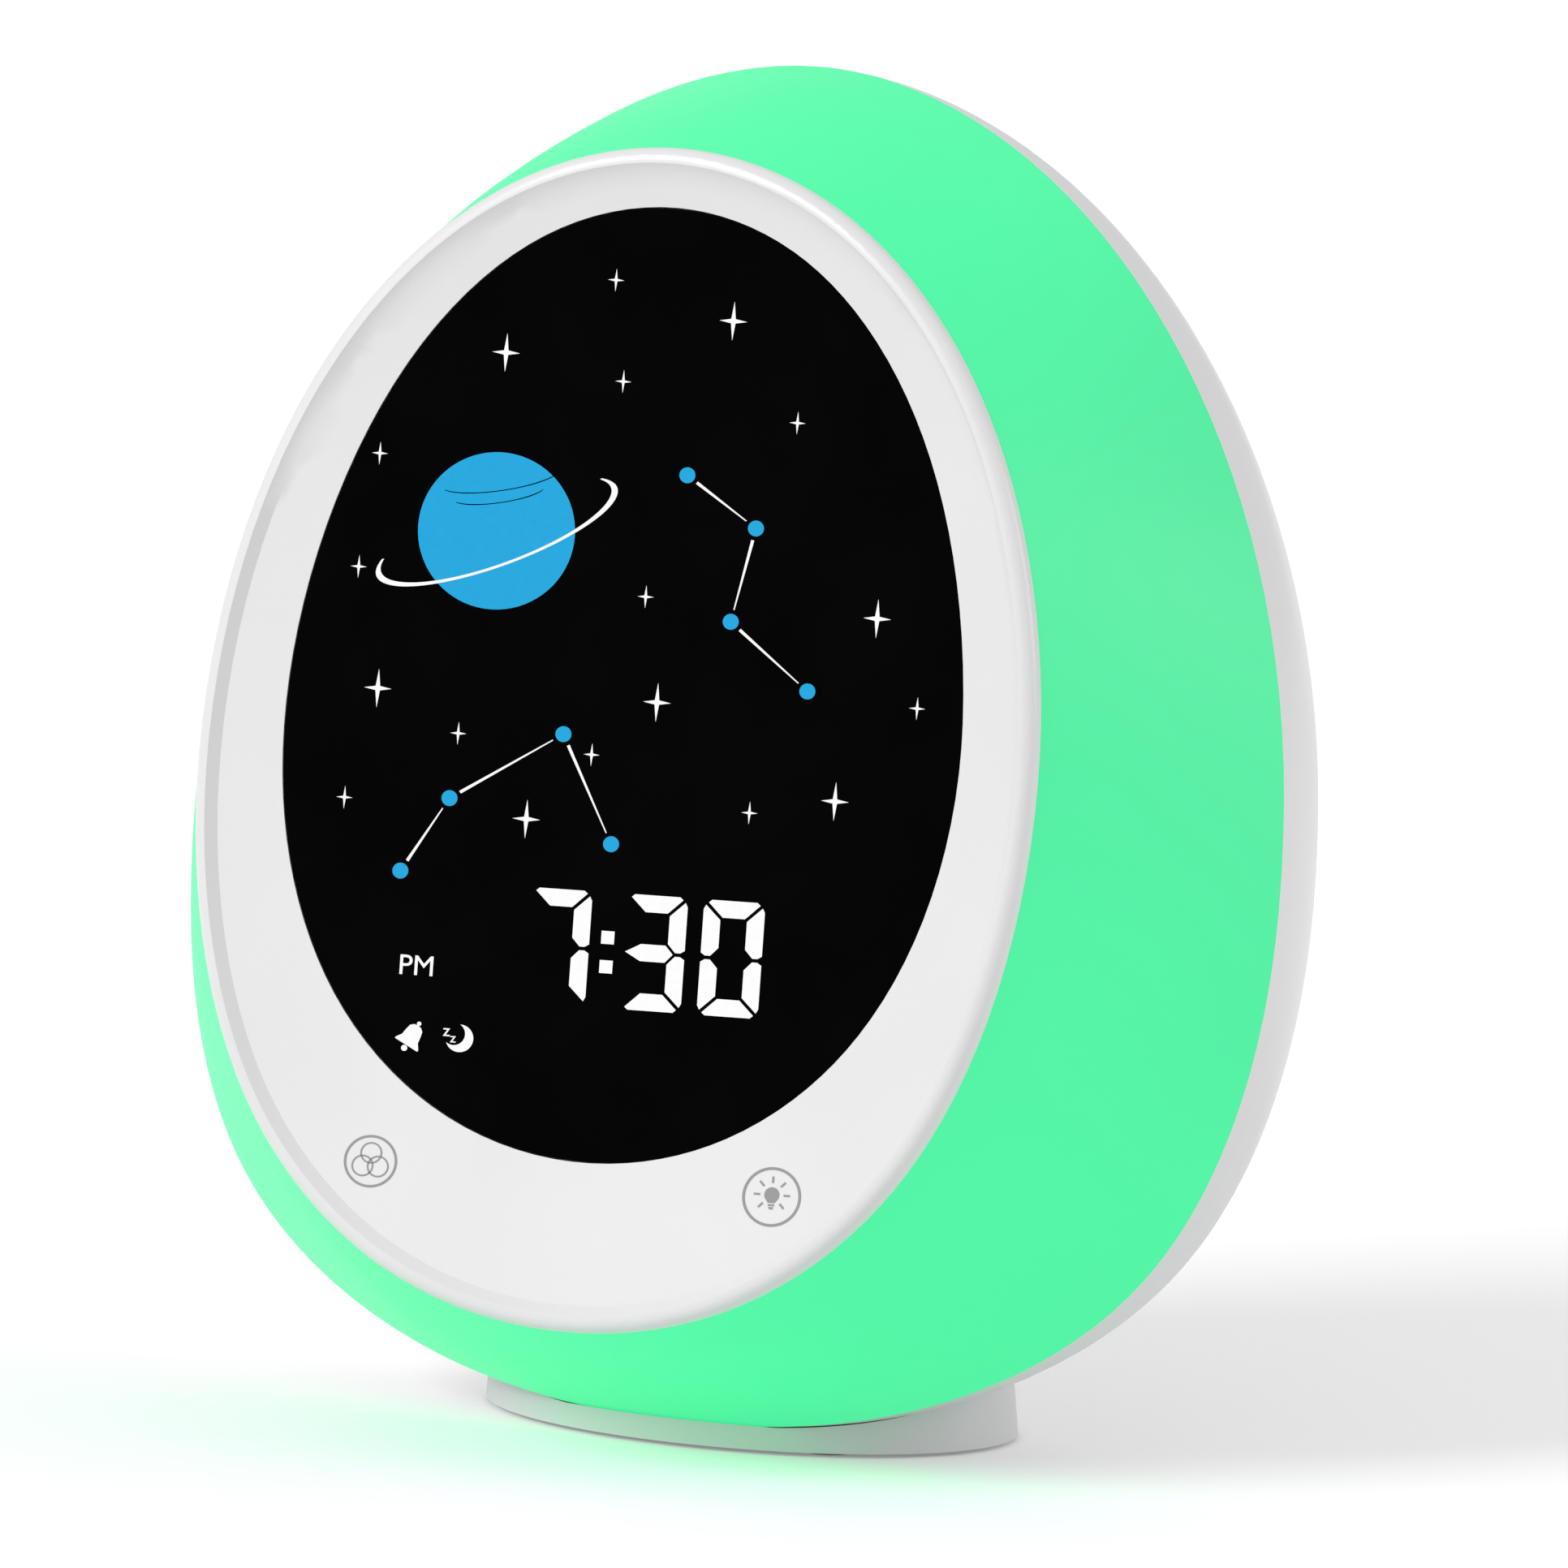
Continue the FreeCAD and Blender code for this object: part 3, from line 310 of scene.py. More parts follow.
def smoothed_shell(node_name, name):
    """A merged copy of a moulded part with soft shading over its curves and crisp edges kept."""
    source = frame["nodes"][node_name]
    piece = bpy.data.objects.new(name, source.data.copy())
    bpy.context.scene.collection.objects.link(piece)
    only(piece)
    bpy.ops.object.mode_set(mode="EDIT")
    bpy.ops.mesh.select_all(action="SELECT")
    bpy.ops.mesh.remove_doubles(threshold=MERGE_GAP)
    bpy.ops.object.mode_set(mode="OBJECT")
    if piece.data.has_custom_normals:
        bpy.ops.mesh.customdata_custom_splitnormals_clear()
    bpy.ops.object.shade_smooth_by_angle(angle=math.radians(CREASE_ANGLE))
    even_out = piece.modifiers.new("even_shading", "WEIGHTED_NORMAL")
    even_out.keep_sharp = True
    even_out.weight = LARGE_FACE_WEIGHT
    bpy.ops.object.modifier_apply(modifier="even_shading")
    slot = SLOT_OF[node_name]
    dress(piece, name, MATERIALS[slot], BODY_OF[node_name])
    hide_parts(node_name)
    return piece


SHELLS = {
    "front_bezel": "bezel",
    "diffuser_ring": "glow_band",
    "rear_housing": "back_shell",
    "base_foot": "foot",
    "display_lens": "lens",
    "battery_door": "door_panel",
    "key_mode": "mode_button",
    "key_set": "set_button",
    "key_down": "down_button",
    "key_up": "up_button",
    "key_alarm": "alarm_button",
    "key_sound": "sound_button",
}
shells = {node_name: smoothed_shell(node_name, name) for node_name, name in SHELLS.items()}

# Flat shapes are drawn in millimetres on a sheet, then laid on the lens or the bezel. The picture's
# own across and up directions lie a little askew on the lens, as the segments behind it do.
LENS_MIDDLE = (778.3, 843.9)
LENS_RISE = 6.6
LENS_ACROSS = (1.150, -0.1226)
LENS_UP = (0.106, 0.995)
PHOTO_SCALE = 10.32
SHEET_ACROSS = (1.155, 0.045)
SHEET_UP = (-0.052, 1.0)
PRINT_THICK = 0.06
PRINT_BASE = -0.5 * PRINT_THICK


def sheet_place(px, py):
    """The spot on the lens, in millimetres across and up, that a photo pixel shows."""
    right = (px - LENS_MIDDLE[0]) / PHOTO_SCALE
    rise = (LENS_MIDDLE[1] - py) / PHOTO_SCALE
    across = LENS_ACROSS[0] * right + LENS_ACROSS[1] * rise
    up = LENS_RISE + LENS_UP[1] * rise + LENS_UP[0] * right
    return across, up


def sheet_matrix(px, py, x_axis, y_axis, base):
    """Moves a sheet from its own middle to a photo pixel's spot, with its two directions as given."""
    across, up = sheet_place(px, py)
    return Matrix((
        (x_axis[0], y_axis[0], 0.0, across),
        (x_axis[1], y_axis[1], 0.0, up),
        (0.0, 0.0, 1.0, base),
        (0.0, 0.0, 0.0, 1.0),
    ))


def outline_shape(points):
    """A flat polygon: a filled ring of as many corners, its corners moved to the outline."""
    bpy.ops.object.select_all(action="DESELECT")
    bpy.ops.mesh.primitive_circle_add(vertices=len(points), radius=1.0, fill_type="NGON")
    piece = bpy.context.active_object
    for vertex, (x, y) in zip(piece.data.vertices, points):
        vertex.co = Vector((x, y, 0.0))
    return piece


def disc_shape(x, y, radius, corners=40):
    """A flat round disc."""
    points = []
    for i in range(corners):
        angle = 2 * math.pi * i / corners
        points.append((x + radius * math.cos(angle), y + radius * math.sin(angle)))
    return outline_shape(points)


def ring_shape(x, y, radius, width, corners=56, squash=1.0, turn=0.0, start=0.0, sweep=360.0):
    """A flat band round a circle or an oval, whole or in part."""
    full = abs(sweep - 360.0) < 0.01
    bpy.ops.object.select_all(action="DESELECT")
    bpy.ops.mesh.primitive_grid_add(x_subdivisions=corners, y_subdivisions=1, size=2.0)
    piece = bpy.context.active_object
    spin = math.radians(turn)
    for vertex in piece.data.vertices:
        share = (vertex.co.x + 1.0) / 2.0
        angle = math.radians(start + sweep * share)
        taper = 1.0 if full else min(1.0, 4.0 * share * (1.0 - share) + 0.25)
        reach = radius + 0.5 * width * taper * (-1.0 if vertex.co.y > 0 else 1.0)
        flat_x = reach * math.cos(angle)
        flat_y = reach * math.sin(angle) * squash
        vertex.co.x = x + flat_x * math.cos(spin) - flat_y * math.sin(spin)
        vertex.co.y = y + flat_x * math.sin(spin) + flat_y * math.cos(spin)
    return piece


def bar_shape(x0, y0, x1, y1, width_start, width_end):
    """A flat bar between two points, which may taper."""
    length = math.hypot(x1 - x0, y1 - y0)
    nx = -(y1 - y0) / length
    ny = (x1 - x0) / length
    a = width_start / 2.0
    b = width_end / 2.0
    return outline_shape([(x0 - nx * a, y0 - ny * a), (x1 - nx * b, y1 - ny * b),
                          (x1 + nx * b, y1 + ny * b), (x0 + nx * a, y0 + ny * a)])


SPARKLE_POINTS = 4
SPARKLE_WAIST = 0.16
SPARKLE_SIDE_REACH = 0.72


def sparkle_shape(reach):
    """A four-pointed sparkle, taller than it is wide."""
    corners = []
    for i in range(2 * SPARKLE_POINTS):
        radius = reach if i % 2 == 0 else reach * SPARKLE_WAIST
        if i % 2 == 0 and (i // 2) % 2 == 1:
            radius *= SPARKLE_SIDE_REACH
        angle = math.radians(90.0 + 180.0 * i / SPARKLE_POINTS)
        corners.append((radius * math.cos(angle), radius * math.sin(angle)))
    return outline_shape(corners)


def joined(shapes, name):
    """Joins flat shapes into one sheet."""
    bpy.ops.object.select_all(action="DESELECT")
    for shape in shapes:
        shape.select_set(True)
    bpy.context.view_layer.objects.active = shapes[0]
    if len(shapes) > 1:
        bpy.ops.object.join()
    piece = bpy.context.active_object
    piece.name = name
    return piece


def thickened(piece, thick):
    """Gives a flat sheet its thickness, towards the viewer, with its faces outwards."""
    only(piece)
    bpy.ops.object.mode_set(mode="EDIT")
    bpy.ops.mesh.select_all(action="SELECT")
    bpy.ops.mesh.remove_doubles(threshold=0.0005)
    bpy.ops.mesh.normals_make_consistent(inside=False)
    bpy.ops.object.mode_set(mode="OBJECT")
    for face in piece.data.polygons:
        if face.normal.z < 0.0:
            face.flip()
    piece.data.update()
    modifier = piece.modifiers.new("thickness", "SOLIDIFY")
    modifier.thickness = thick
    modifier.offset = 1.0
    bpy.ops.object.modifier_apply(modifier=modifier.name)
    return piece


def lay_on_lens(piece, px, py, name, material):
    """Puts a sheet drawn about its own middle on the lens, at the spot that a photo pixel shows."""
    thickened(piece, PRINT_THICK)
    place = sheet_matrix(px, py, SHEET_ACROSS, SHEET_UP, PRINT_BASE)
    piece.data.transform(FACE_MATRIX @ Matrix.Scale(MM, 4) @ place)
    dress(piece, name, material, "clock_body")
    return piece


# The time, in seven-segment digits
DIGIT_HALF_WIDTH = 3.65
DIGIT_HALF_HEIGHT = 6.9
BAR = 2.05
CORNER = 0.95
GAP = 0.28
DIGIT_PLACES = (("abc", 696, 1167), ("abcdg", 814, 1174), ("abcdef", 909, 1180))
COLON_PLACES = ((757, 1155), (755, 1191))
COLON_SIZE = 1.55


def segment_corners(letter):
    """The corners of one of the seven bars of a digit, from a at the top to g in the middle."""
    w = DIGIT_HALF_WIDTH
    h = DIGIT_HALF_HEIGHT
    top = [(-w + CORNER, h), (-w + 0.3 * CORNER + GAP, h - 0.35 * CORNER), (-w + BAR + GAP, h - BAR),
           (w - BAR - GAP, h - BAR), (w - 0.3 * CORNER - GAP, h - 0.35 * CORNER), (w - CORNER, h)]
    upper = [(w - 0.28 * CORNER, h - 0.38 * CORNER - GAP), (w, h - CORNER - 0.2), (w, 0.55),
             (w - 0.25 * BAR, 0.22), (w - 0.55 * BAR, 0.22), (w - BAR, 0.5 * BAR + 0.2),
             (w - BAR, h - BAR - 1.1 * GAP)]
    middle = [(-w + 0.2, 0.0), (-w + BAR, 0.5 * BAR), (w - BAR - GAP, 0.5 * BAR),
              (w - 0.55 * BAR - GAP, 0.0), (w - BAR - GAP, -0.5 * BAR), (-w + BAR, -0.5 * BAR)]
    corners = {
        "a": top,
        "b": upper,
        "c": [(x, -y) for x, y in upper],
        "d": [(x, -y) for x, y in top],
        "e": [(-x, -y) for x, y in upper],
        "f": [(-x, y) for x, y in upper],
        "g": middle,
    }
    return corners[letter]


def time_digits():
    """Half past seven, and the two square dots between the hour and the minutes."""
    for index, (letters, px, py) in enumerate(DIGIT_PLACES):
        bars = [outline_shape(segment_corners(letter)) for letter in letters]
        lay_on_lens(joined(bars, "digit"), px, py, "digit_%d" % (index + 1), LIT_WHITE)
    for index, (px, py) in enumerate(COLON_PLACES):
        half = COLON_SIZE / 2.0
        dot = outline_shape([(-half, -half), (half, -half), (half, half), (-half, half)])
        lay_on_lens(dot, px, py, "colon_%d" % (index + 1), LIT_WHITE)


# Signs beside the time
PM_PLACE = (521, 1193)
PM_SIZE = 3.45
BELL_PLACE = (515, 1280)
BELL_SCALE = 1.08
BELL_TURN = -28.0
BELL_HALF = ((0.0, 1.5), (0.42, 1.42), (0.78, 1.12), (0.92, 0.5), (1.02, -0.2), (1.45, -0.82), (1.45, -1.02))
CLAPPER_DROP = -1.42
CLAPPER_RADIUS = 0.34
KNOB_RISE = 1.72
KNOB_RADIUS = 0.24
SLEEP_PLACE = (575, 1281)
SLEEP_RADIUS = 1.65
SLEEP_LETTERS = ((2.1, 559, 1272), (1.7, 567, 1281))


def lettering(words, size):
    """Words in Blender's own plain lettering, turned into a flat mesh."""
    bpy.ops.object.select_all(action="DESELECT")
    bpy.ops.object.text_add()
    piece = bpy.context.active_object
    piece.data.body = words
    piece.data.size = size
    piece.data.align_x = "CENTER"
    piece.data.align_y = "CENTER"
    piece.data.resolution_u = 4
    bpy.ops.object.convert(target="MESH")
    return bpy.context.active_object


def bell_shapes(scale, turn):
    """A bell with its knob and clapper."""
    outline = [(-x, y) for x, y in BELL_HALF[1:]] + [(x, y) for x, y in reversed(BELL_HALF)]
    spin = math.radians(turn)

    def turned(x, y):
        return (scale * (x * math.cos(spin) - y * math.sin(spin)),
                scale * (x * math.sin(spin) + y * math.cos(spin)))

    shapes = [outline_shape([turned(x, y) for x, y in outline])]
    shapes.append(disc_shape(*turned(0.0, CLAPPER_DROP), CLAPPER_RADIUS * scale, 20))
    shapes.append(disc_shape(*turned(0.0, KNOB_RISE), KNOB_RADIUS * scale, 16))
    return shapes


def crescent_shape(radius, bite=0.82, away=0.52, towards=145.0, corners=30):
    """A disc with a smaller disc bitten out of the side that faces the given angle."""
    inner = bite * radius
    step = away * radius
    facing = math.radians(towards)
    wide = math.acos((step ** 2 + radius ** 2 - inner ** 2) / (2.0 * step * radius))
    narrow = math.acos((radius ** 2 - step ** 2 - inner ** 2) / (2.0 * step * inner))
    middle = (step * math.cos(facing), step * math.sin(facing))
    points = []
    for i in range(corners + 1):
        angle = facing + wide + (2.0 * math.pi - 2.0 * wide) * i / corners
        points.append((radius * math.cos(angle), radius * math.sin(angle)))
    for i in range(1, corners):
        angle = facing - narrow - (2.0 * math.pi - 2.0 * narrow) * i / corners
        points.append((middle[0] + inner * math.cos(angle), middle[1] + inner * math.sin(angle)))
    return outline_shape(points)


def status_signs():
    """The afternoon sign, the alarm bell and the sleep sign."""
    lay_on_lens(lettering("PM", PM_SIZE), *PM_PLACE, "pm_sign", LIT_WHITE)
    bell = joined(bell_shapes(BELL_SCALE, BELL_TURN), "bell")
    lay_on_lens(bell, *BELL_PLACE, "bell_sign", LIT_WHITE)
    lay_on_lens(crescent_shape(SLEEP_RADIUS), *SLEEP_PLACE, "sleep_sign", LIT_WHITE)
    for index, (size, px, py) in enumerate(SLEEP_LETTERS):
        lay_on_lens(lettering("z", size), px, py, "sleep_letter_%d" % (index + 1), LIT_WHITE)


# The lit picture: a ringed planet, two small constellations and four-pointed sparkles
PLANET_PLACE = (615, 655)
PLANET_RADIUS = 9.4
PLANET_RING = {"radius": 15.0, "width": 1.1, "corners": 72, "squash": 0.27, "turn": 24.0,
               "start": -202.0, "sweep": 224.0}
PLANET_RING_LIFT = 0.04
PLANET_BANDS = ((5.6, 4.6), (7.2, 6.4))
PLANET_BAND_LOOK = {"width": 0.5, "corners": 28, "squash": 0.22, "turn": 12.0, "start": 200.0, "sweep": 140.0}
PLANET_BAND_LIFT = 0.03
LARGE_SPARKLES = ((905, 395), (470, 850), (1085, 760), (815, 865), (655, 1010), (1035, 985), (625, 435))
SMALL_SPARKLES = ((770, 470), (985, 520), (800, 735), (430, 985), (570, 905), (930, 1000), (1135, 870),
                  (760, 345), (470, 560), (735, 930), (445, 700))
CONSTELLATIONS = (((850, 585), (935, 650), (905, 765), (1000, 850)),
                  ((500, 1075), (560, 985), (700, 905), (760, 1040)))
LARGE_REACH = 2.3
SMALL_REACH = 1.35
STAR_DOT_RADIUS = 0.95
LINE_WIDTH = 0.36
LINE_TAPER = 0.35
LINE_CLEARANCE = 0.5


def sky_picture():
    """The planet with its ring and bands, the sparkles and the two constellations."""
    disc = disc_shape(0.0, 0.0, PLANET_RADIUS, 72)
    lay_on_lens(disc, *PLANET_PLACE, "planet_disc", LIT_BLUE)
    ring = ring_shape(0.0, 0.0, **PLANET_RING)
    ring_piece = lay_on_lens(ring, *PLANET_PLACE, "planet_ring", LIT_WHITE)
    ring_piece.data.transform(Matrix.Translation(-BACKWARD * PLANET_RING_LIFT * MM))
    for index, (size, rise) in enumerate(PLANET_BANDS):
        band = ring_shape(0.0, rise, size, **PLANET_BAND_LOOK)
        band_piece = lay_on_lens(band, *PLANET_PLACE, "planet_band_%d" % (index + 1), LIT_GAP)
        band_piece.data.transform(Matrix.Translation(-BACKWARD * PLANET_BAND_LIFT * MM))
    sparkles = (("large", LARGE_SPARKLES, LARGE_REACH), ("small", SMALL_SPARKLES, SMALL_REACH))
    for name, places, reach in sparkles:
        for index, (px, py) in enumerate(places):
            star = sparkle_shape(reach)
            lay_on_lens(star, px, py, "sparkle_%s_%d" % (name, index + 1), LIT_WHITE)
    for number, chain in enumerate(CONSTELLATIONS):
        for index, (px, py) in enumerate(chain):
            dot = disc_shape(0.0, 0.0, STAR_DOT_RADIUS, 24)
            lay_on_lens(dot, px, py, "node_%d_%d" % (number + 1, index + 1), LIT_BLUE)
        for index in range(len(chain) - 1):
            name = "line_%d_%d" % (number + 1, index + 1)
            constellation_line(chain[index], chain[index + 1], name)


def constellation_line(first, last, name):
    """A thin line between two star dots, drawn along the photo's own directions, as its ends are."""
    dx = (last[0] - first[0]) / PHOTO_SCALE
    dy = (first[1] - last[1]) / PHOTO_SCALE
    length = math.hypot(dx, dy)
    near = STAR_DOT_RADIUS + LINE_CLEARANCE
    far = length - near
    ux = dx / length
    uy = dy / length
    line = bar_shape(ux * near, uy * near, ux * far, uy * far, LINE_WIDTH, LINE_WIDTH * LINE_TAPER)
    thickened(line, PRINT_THICK)
    x_axis = (LENS_ACROSS[0], LENS_UP[0])
    y_axis = (LENS_ACROSS[1], LENS_UP[1])
    place = sheet_matrix(first[0], first[1], x_axis, y_axis, PRINT_BASE)
    line.data.transform(FACE_MATRIX @ Matrix.Scale(MM, 4) @ place)
    dress(line, name, LIT_WHITE, "clock_body")


# Touch signs printed on the bezel
LIGHT_SIGN_PLACE = (964, 1472)
COLOUR_SIGN_PLACE = (469, 1434)
LIGHT_RING = {"radius": 3.4, "width": 0.34, "corners": 64}
COLOUR_RING = {"radius": 3.0, "width": 0.3, "corners": 60}
COLOUR_CIRCLE = {"radius": 1.2, "width": 0.2, "corners": 40}
COLOUR_CIRCLE_ANGLES = (90.0, 210.0, 330.0)
COLOUR_CIRCLE_OFFSET = 1.05
COLOUR_CIRCLE_DROP = 0.05
BULB_RADIUS = 0.92
BULB_RISE = 0.25
BULB_START = -48.0
BULB_SWEEP = 276.0
BULB_STEPS = 20
BULB_NECK = ((-0.42, -0.72), (0.42, -0.72))
BULB_THREAD = (-0.38, -0.98, 0.38, -0.98, 0.24, 0.24)
BULB_TIP = ((-0.18, -1.5), (0.18, -1.5), (0.34, -1.2), (-0.34, -1.2))
RAY_ANGLES = (0.0, 45.0, 90.0, 135.0, 180.0, 225.0, 315.0)
RAY_START = 1.42
RAY_END = 2.2
RAY_WIDTH = 0.26
TOUCH_START_DEPTH = -6.0


def bulb_shapes():
    """A light bulb with its neck, thread and tip, and the rays round it."""
    outline = []
    for i in range(BULB_STEPS + 1):
        angle = math.radians(BULB_START + BULB_SWEEP * i / BULB_STEPS)
        outline.append((BULB_RADIUS * math.cos(angle), BULB_RISE + BULB_RADIUS * math.sin(angle)))
    outline += BULB_NECK
    shapes = [outline_shape(outline), bar_shape(*BULB_THREAD), outline_shape(BULB_TIP)]
    for ray_angle in RAY_ANGLES:
        turn = math.radians(ray_angle)
        across = math.cos(turn)
        up = math.sin(turn)
        shapes.append(bar_shape(RAY_START * across, BULB_RISE + RAY_START * up,
                                RAY_END * across, BULB_RISE + RAY_END * up, RAY_WIDTH, RAY_WIDTH))
    return shapes


def lay_on_bezel(piece, px, py, name):
    """Lets a thin print follow the dished front of the bezel, corner by corner."""
    thickened(piece, PRINT_THICK)
    piece.data.transform(sheet_matrix(px, py, SHEET_ACROSS, SHEET_UP, 0.0))
    bezel = shells["front_bezel"]
    tree = BVHTree.FromPolygons([v.co.copy() for v in bezel.data.vertices],
                                [tuple(p.vertices) for p in bezel.data.polygons])
    for vertex in piece.data.vertices:
        height = vertex.co.z
        start = face_point(vertex.co.x, vertex.co.y, TOUCH_START_DEPTH)
        hit = tree.ray_cast(start, BACKWARD)[0]
        vertex.co = hit - BACKWARD * (height - 0.5 * PRINT_THICK) * MM
    dress(piece, name, INK_GREY, "clock_body")


def touch_signs():
    """The light sign on the right and the colour sign on the left."""
    ring = ring_shape(0.0, 0.0, **LIGHT_RING)
    lay_on_bezel(joined([ring] + bulb_shapes(), "light"), *LIGHT_SIGN_PLACE, "light_sign")
    shapes = [ring_shape(0.0, 0.0, **COLOUR_RING)]
    for circle_angle in COLOUR_CIRCLE_ANGLES:
        turn = math.radians(circle_angle)
        x = COLOUR_CIRCLE_OFFSET * math.cos(turn)
        y = COLOUR_CIRCLE_OFFSET * math.sin(turn) - COLOUR_CIRCLE_DROP
        shapes.append(ring_shape(x, y, **COLOUR_CIRCLE))
    lay_on_bezel(joined(shapes, "colour"), *COLOUR_SIGN_PLACE, "colour_sign")


# Signs on the rear keys, seen from behind
KEY_TOP_DEPTH = 56.747
KEY_ROW = 38.0
KEY_PITCH = 11.0
KEY_ORDER = ("mode", "set", "down", "up", "alarm", "sound")
BACK_MATRIX = Matrix((
    (-ALONG.x, UPWARD.x, BACKWARD.x, FACE_ORIGIN.x),
    (-ALONG.y, UPWARD.y, BACKWARD.y, FACE_ORIGIN.y),
    (-ALONG.z, UPWARD.z, BACKWARD.z, FACE_ORIGIN.z),
    (0.0, 0.0, 0.0, 1.0),
))


DOWN_ARROW = ((-1.3, 0.8), (0.0, -1.1), (1.3, 0.8))
UP_ARROW = ((-1.3, -0.8), (1.3, -0.8), (0.0, 1.1))
KEY_BELL_SCALE = 0.95
DIAL_RING = {"radius": 1.3, "width": 0.34, "corners": 40}
DIAL_HANDS = ((0.0, 0.0, 0.0, 0.95, 0.3, 0.3), (0.0, 0.0, 0.7, 0.0, 0.3, 0.3))
SET_RING = {"radius": 1.3, "width": 0.3, "corners": 40}
SET_DOT_RADIUS = 0.5
SOUND_BAR_WIDTH = 0.5
SOUND_BAR_FOOT = -1.1
SOUND_BARS = ((-1.2, -0.3), (-0.4, 0.2), (0.4, 0.7), (1.2, 1.2))


def key_sign_shapes(name):
    """The flat shapes of one rear key's sign."""
    if name == "down":
        return [outline_shape(DOWN_ARROW)]
    if name == "up":
        return [outline_shape(UP_ARROW)]
    if name == "alarm":
        return bell_shapes(KEY_BELL_SCALE, 0.0)
    if name == "mode":
        return [ring_shape(0.0, 0.0, **DIAL_RING)] + [bar_shape(*hand) for hand in DIAL_HANDS]
    if name == "set":
        return [disc_shape(0.0, 0.0, SET_DOT_RADIUS, 20), ring_shape(0.0, 0.0, **SET_RING)]
    return [bar_shape(x, SOUND_BAR_FOOT, x, top, SOUND_BAR_WIDTH, SOUND_BAR_WIDTH) for x, top in SOUND_BARS]


def key_signs():
    """A sign on each rear key, carried by that key."""
    for index, name in enumerate(KEY_ORDER):
        piece = thickened(joined(key_sign_shapes(name), name), PRINT_THICK)
        across = -(index - (len(KEY_ORDER) - 1) / 2.0) * KEY_PITCH
        place = Matrix.Translation((across, KEY_ROW, KEY_TOP_DEPTH - 0.5 * PRINT_THICK))
        piece.data.transform(BACK_MATRIX @ Matrix.Scale(MM, 4) @ place)
        dress(piece, name + "_sign", INK_DARK, "key_" + name)


time_digits()
status_signs()
sky_picture()
touch_signs()
key_signs()


# Floor, lights and camera
FLOOR_SIZE = 6.0
FLOOR_LIGHT = (0.82, 0.82, 0.82, 1.0)
FLOOR_DARK = (0.80, 0.80, 0.80, 1.0)
FLOOR_LIFT = 0.20
WORLD_LEVEL = 0.70
KEY_TOWARDS = (-0.4617, -0.676, 0.5736)
KEY_SPREAD = 28.0
KEY_STRENGTH = 1.7
RIM_LAMP = {"place": (1.5, 0.5, 0.7), "aim": (0.0, 0.0, 0.08), "size": 0.9, "power": 5.0}
VIEW_TURN = 30.65
VIEW_RISE = 10.35
VIEW_ROLL = 0.51
VIEW_DISTANCE = 8.0
VIEW_MIDDLE = (200.8, -54.2)
PHOTO_WIDTH = 1932.0
SENSOR = 36.0


def pale_floor():
    """A pale floor that goes to white for the camera and keeps the shadow."""
    bpy.ops.object.select_all(action="DESELECT")
    bpy.ops.mesh.primitive_plane_add(size=FLOOR_SIZE, location=(0.0, 0.0, 0.0))
    floor = bpy.context.active_object
    floor.name = "floor"
    material, tree, shader = new_material("floor")
    cloud = noise(tree, FLOOR_CLOUD_SCALE, 2.0)
    tint = colour_mix(tree, cloud.outputs["Fac"], FLOOR_DARK, FLOOR_LIGHT)
    tree.links.new(tint, shader.inputs["Base Color"])
    shader.inputs["Roughness"].default_value = 0.9
    shader.inputs["Specular IOR Level"].default_value = 0.0
    path = tree.nodes.new("ShaderNodeLightPath")
    seen = tree.nodes.new("ShaderNodeMath")
    seen.operation = "MAXIMUM"
    tree.links.new(path.outputs["Is Camera Ray"], seen.inputs[0])
    tree.links.new(path.outputs["Is Glossy Ray"], seen.inputs[1])
    lift = tree.nodes.new("ShaderNodeMath")
    lift.operation = "MULTIPLY"
    lift.inputs[1].default_value = FLOOR_LIFT
    tree.links.new(seen.outputs["Value"], lift.inputs[0])
    shader.inputs["Emission Color"].default_value = WHITE
    tree.links.new(lift.outputs["Value"], shader.inputs["Emission Strength"])
    floor.data.materials.append(material)


def white_world():
    """Even light from all round, which the camera sees as plain white."""
    world = bpy.data.worlds.new("white_room")
    bpy.context.scene.world = world
    world.use_nodes = True
    tree = world.node_tree
    background = tree.nodes["Background"]
    path = tree.nodes.new("ShaderNodeLightPath")
    seen = tree.nodes.new("ShaderNodeMath")
    seen.operation = "MAXIMUM"
    tree.links.new(path.outputs["Is Camera Ray"], seen.inputs[0])
    tree.links.new(path.outputs["Is Transmission Ray"], seen.inputs[1])
    strength = tree.nodes.new("ShaderNodeMapRange")
    strength.inputs["To Min"].default_value = WORLD_LEVEL
    strength.inputs["To Max"].default_value = 1.0
    tree.links.new(seen.outputs["Value"], strength.inputs["Value"])
    background.inputs["Color"].default_value = WHITE
    tree.links.new(strength.outputs["Result"], background.inputs["Strength"])


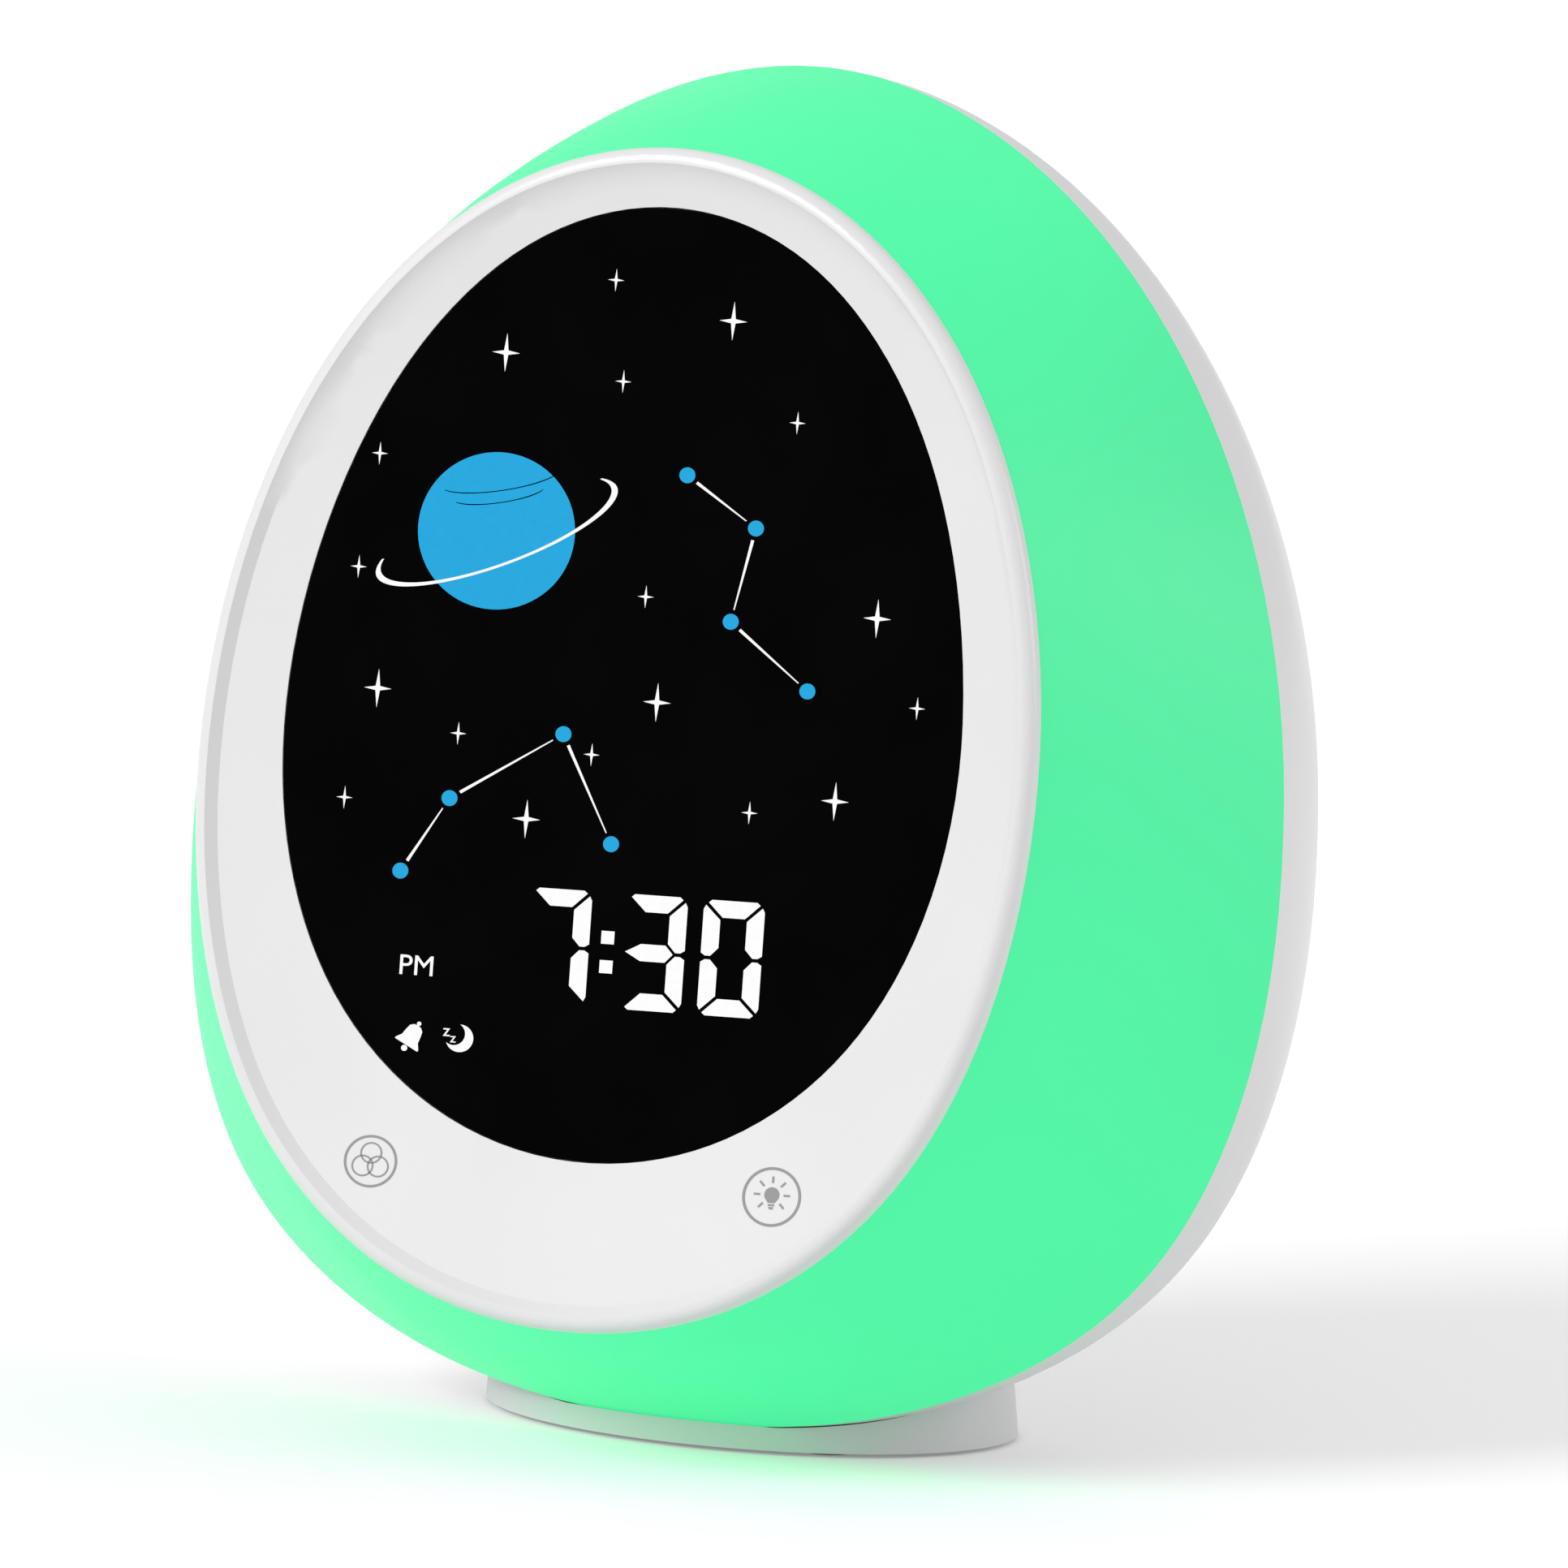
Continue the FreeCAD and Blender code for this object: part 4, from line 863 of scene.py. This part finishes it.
def soft_lamp(name, place, aim, size, power):
    """A round lamp turned to face its aim."""
    data = bpy.data.lights.new(name, "AREA")
    data.shape = "DISK"
    data.size = size
    data.energy = power
    lamp = bpy.data.objects.new(name, data)
    bpy.context.scene.collection.objects.link(lamp)
    lamp.location = place
    lamp.rotation_mode = "QUATERNION"
    lamp.rotation_quaternion = (Vector(aim) - Vector(place)).to_track_quat("-Z", "Y")


def broad_sun(name, towards, spread, strength):
    """Wide, even light from far away, for a soft shadow."""
    data = bpy.data.lights.new(name, "SUN")
    data.angle = math.radians(spread)
    data.energy = strength
    lamp = bpy.data.objects.new(name, data)
    bpy.context.scene.collection.objects.link(lamp)
    lamp.rotation_mode = "QUATERNION"
    lamp.rotation_quaternion = (-Vector(towards)).to_track_quat("-Z", "Y")


def photo_camera():
    """A camera with a long lens, to the right of the clock and a little above, as in the photo."""
    azimuth = math.radians(VIEW_TURN)
    height = math.radians(VIEW_RISE)
    roll = math.radians(VIEW_ROLL)
    level = math.cos(height)
    back = Vector((math.sin(azimuth) * level, -math.cos(azimuth) * level, math.sin(height)))
    flat = Vector((math.cos(azimuth), math.sin(azimuth), 0.0))
    rise = back.cross(flat)
    right = flat * math.cos(roll) + rise * math.sin(roll)
    up = rise * math.cos(roll) - flat * math.sin(roll)
    middle_right = VIEW_MIDDLE[0] / PHOTO_SCALE * MM
    middle_up = VIEW_MIDDLE[1] / PHOTO_SCALE * MM
    place = FACE_ORIGIN + back * VIEW_DISTANCE + right * middle_right + up * middle_up
    data = bpy.data.cameras.new("photo_camera")
    data.sensor_width = SENSOR
    data.lens = SENSOR * VIEW_DISTANCE / (PHOTO_WIDTH / PHOTO_SCALE * MM)
    data.clip_start = 0.1
    data.clip_end = 100.0
    camera = bpy.data.objects.new("photo_camera", data)
    bpy.context.scene.collection.objects.link(camera)
    camera.matrix_world = Matrix((
        (right.x, up.x, back.x, place.x),
        (right.y, up.y, back.y, place.y),
        (right.z, up.z, back.z, place.z),
        (0.0, 0.0, 0.0, 1.0),
    ))
    bpy.context.scene.camera = camera


pale_floor()
white_world()
broad_sun("key_light", KEY_TOWARDS, KEY_SPREAD, KEY_STRENGTH)
soft_lamp("rim_lamp", **RIM_LAMP)
photo_camera()
bpy.context.scene.view_settings.view_transform = "Standard"
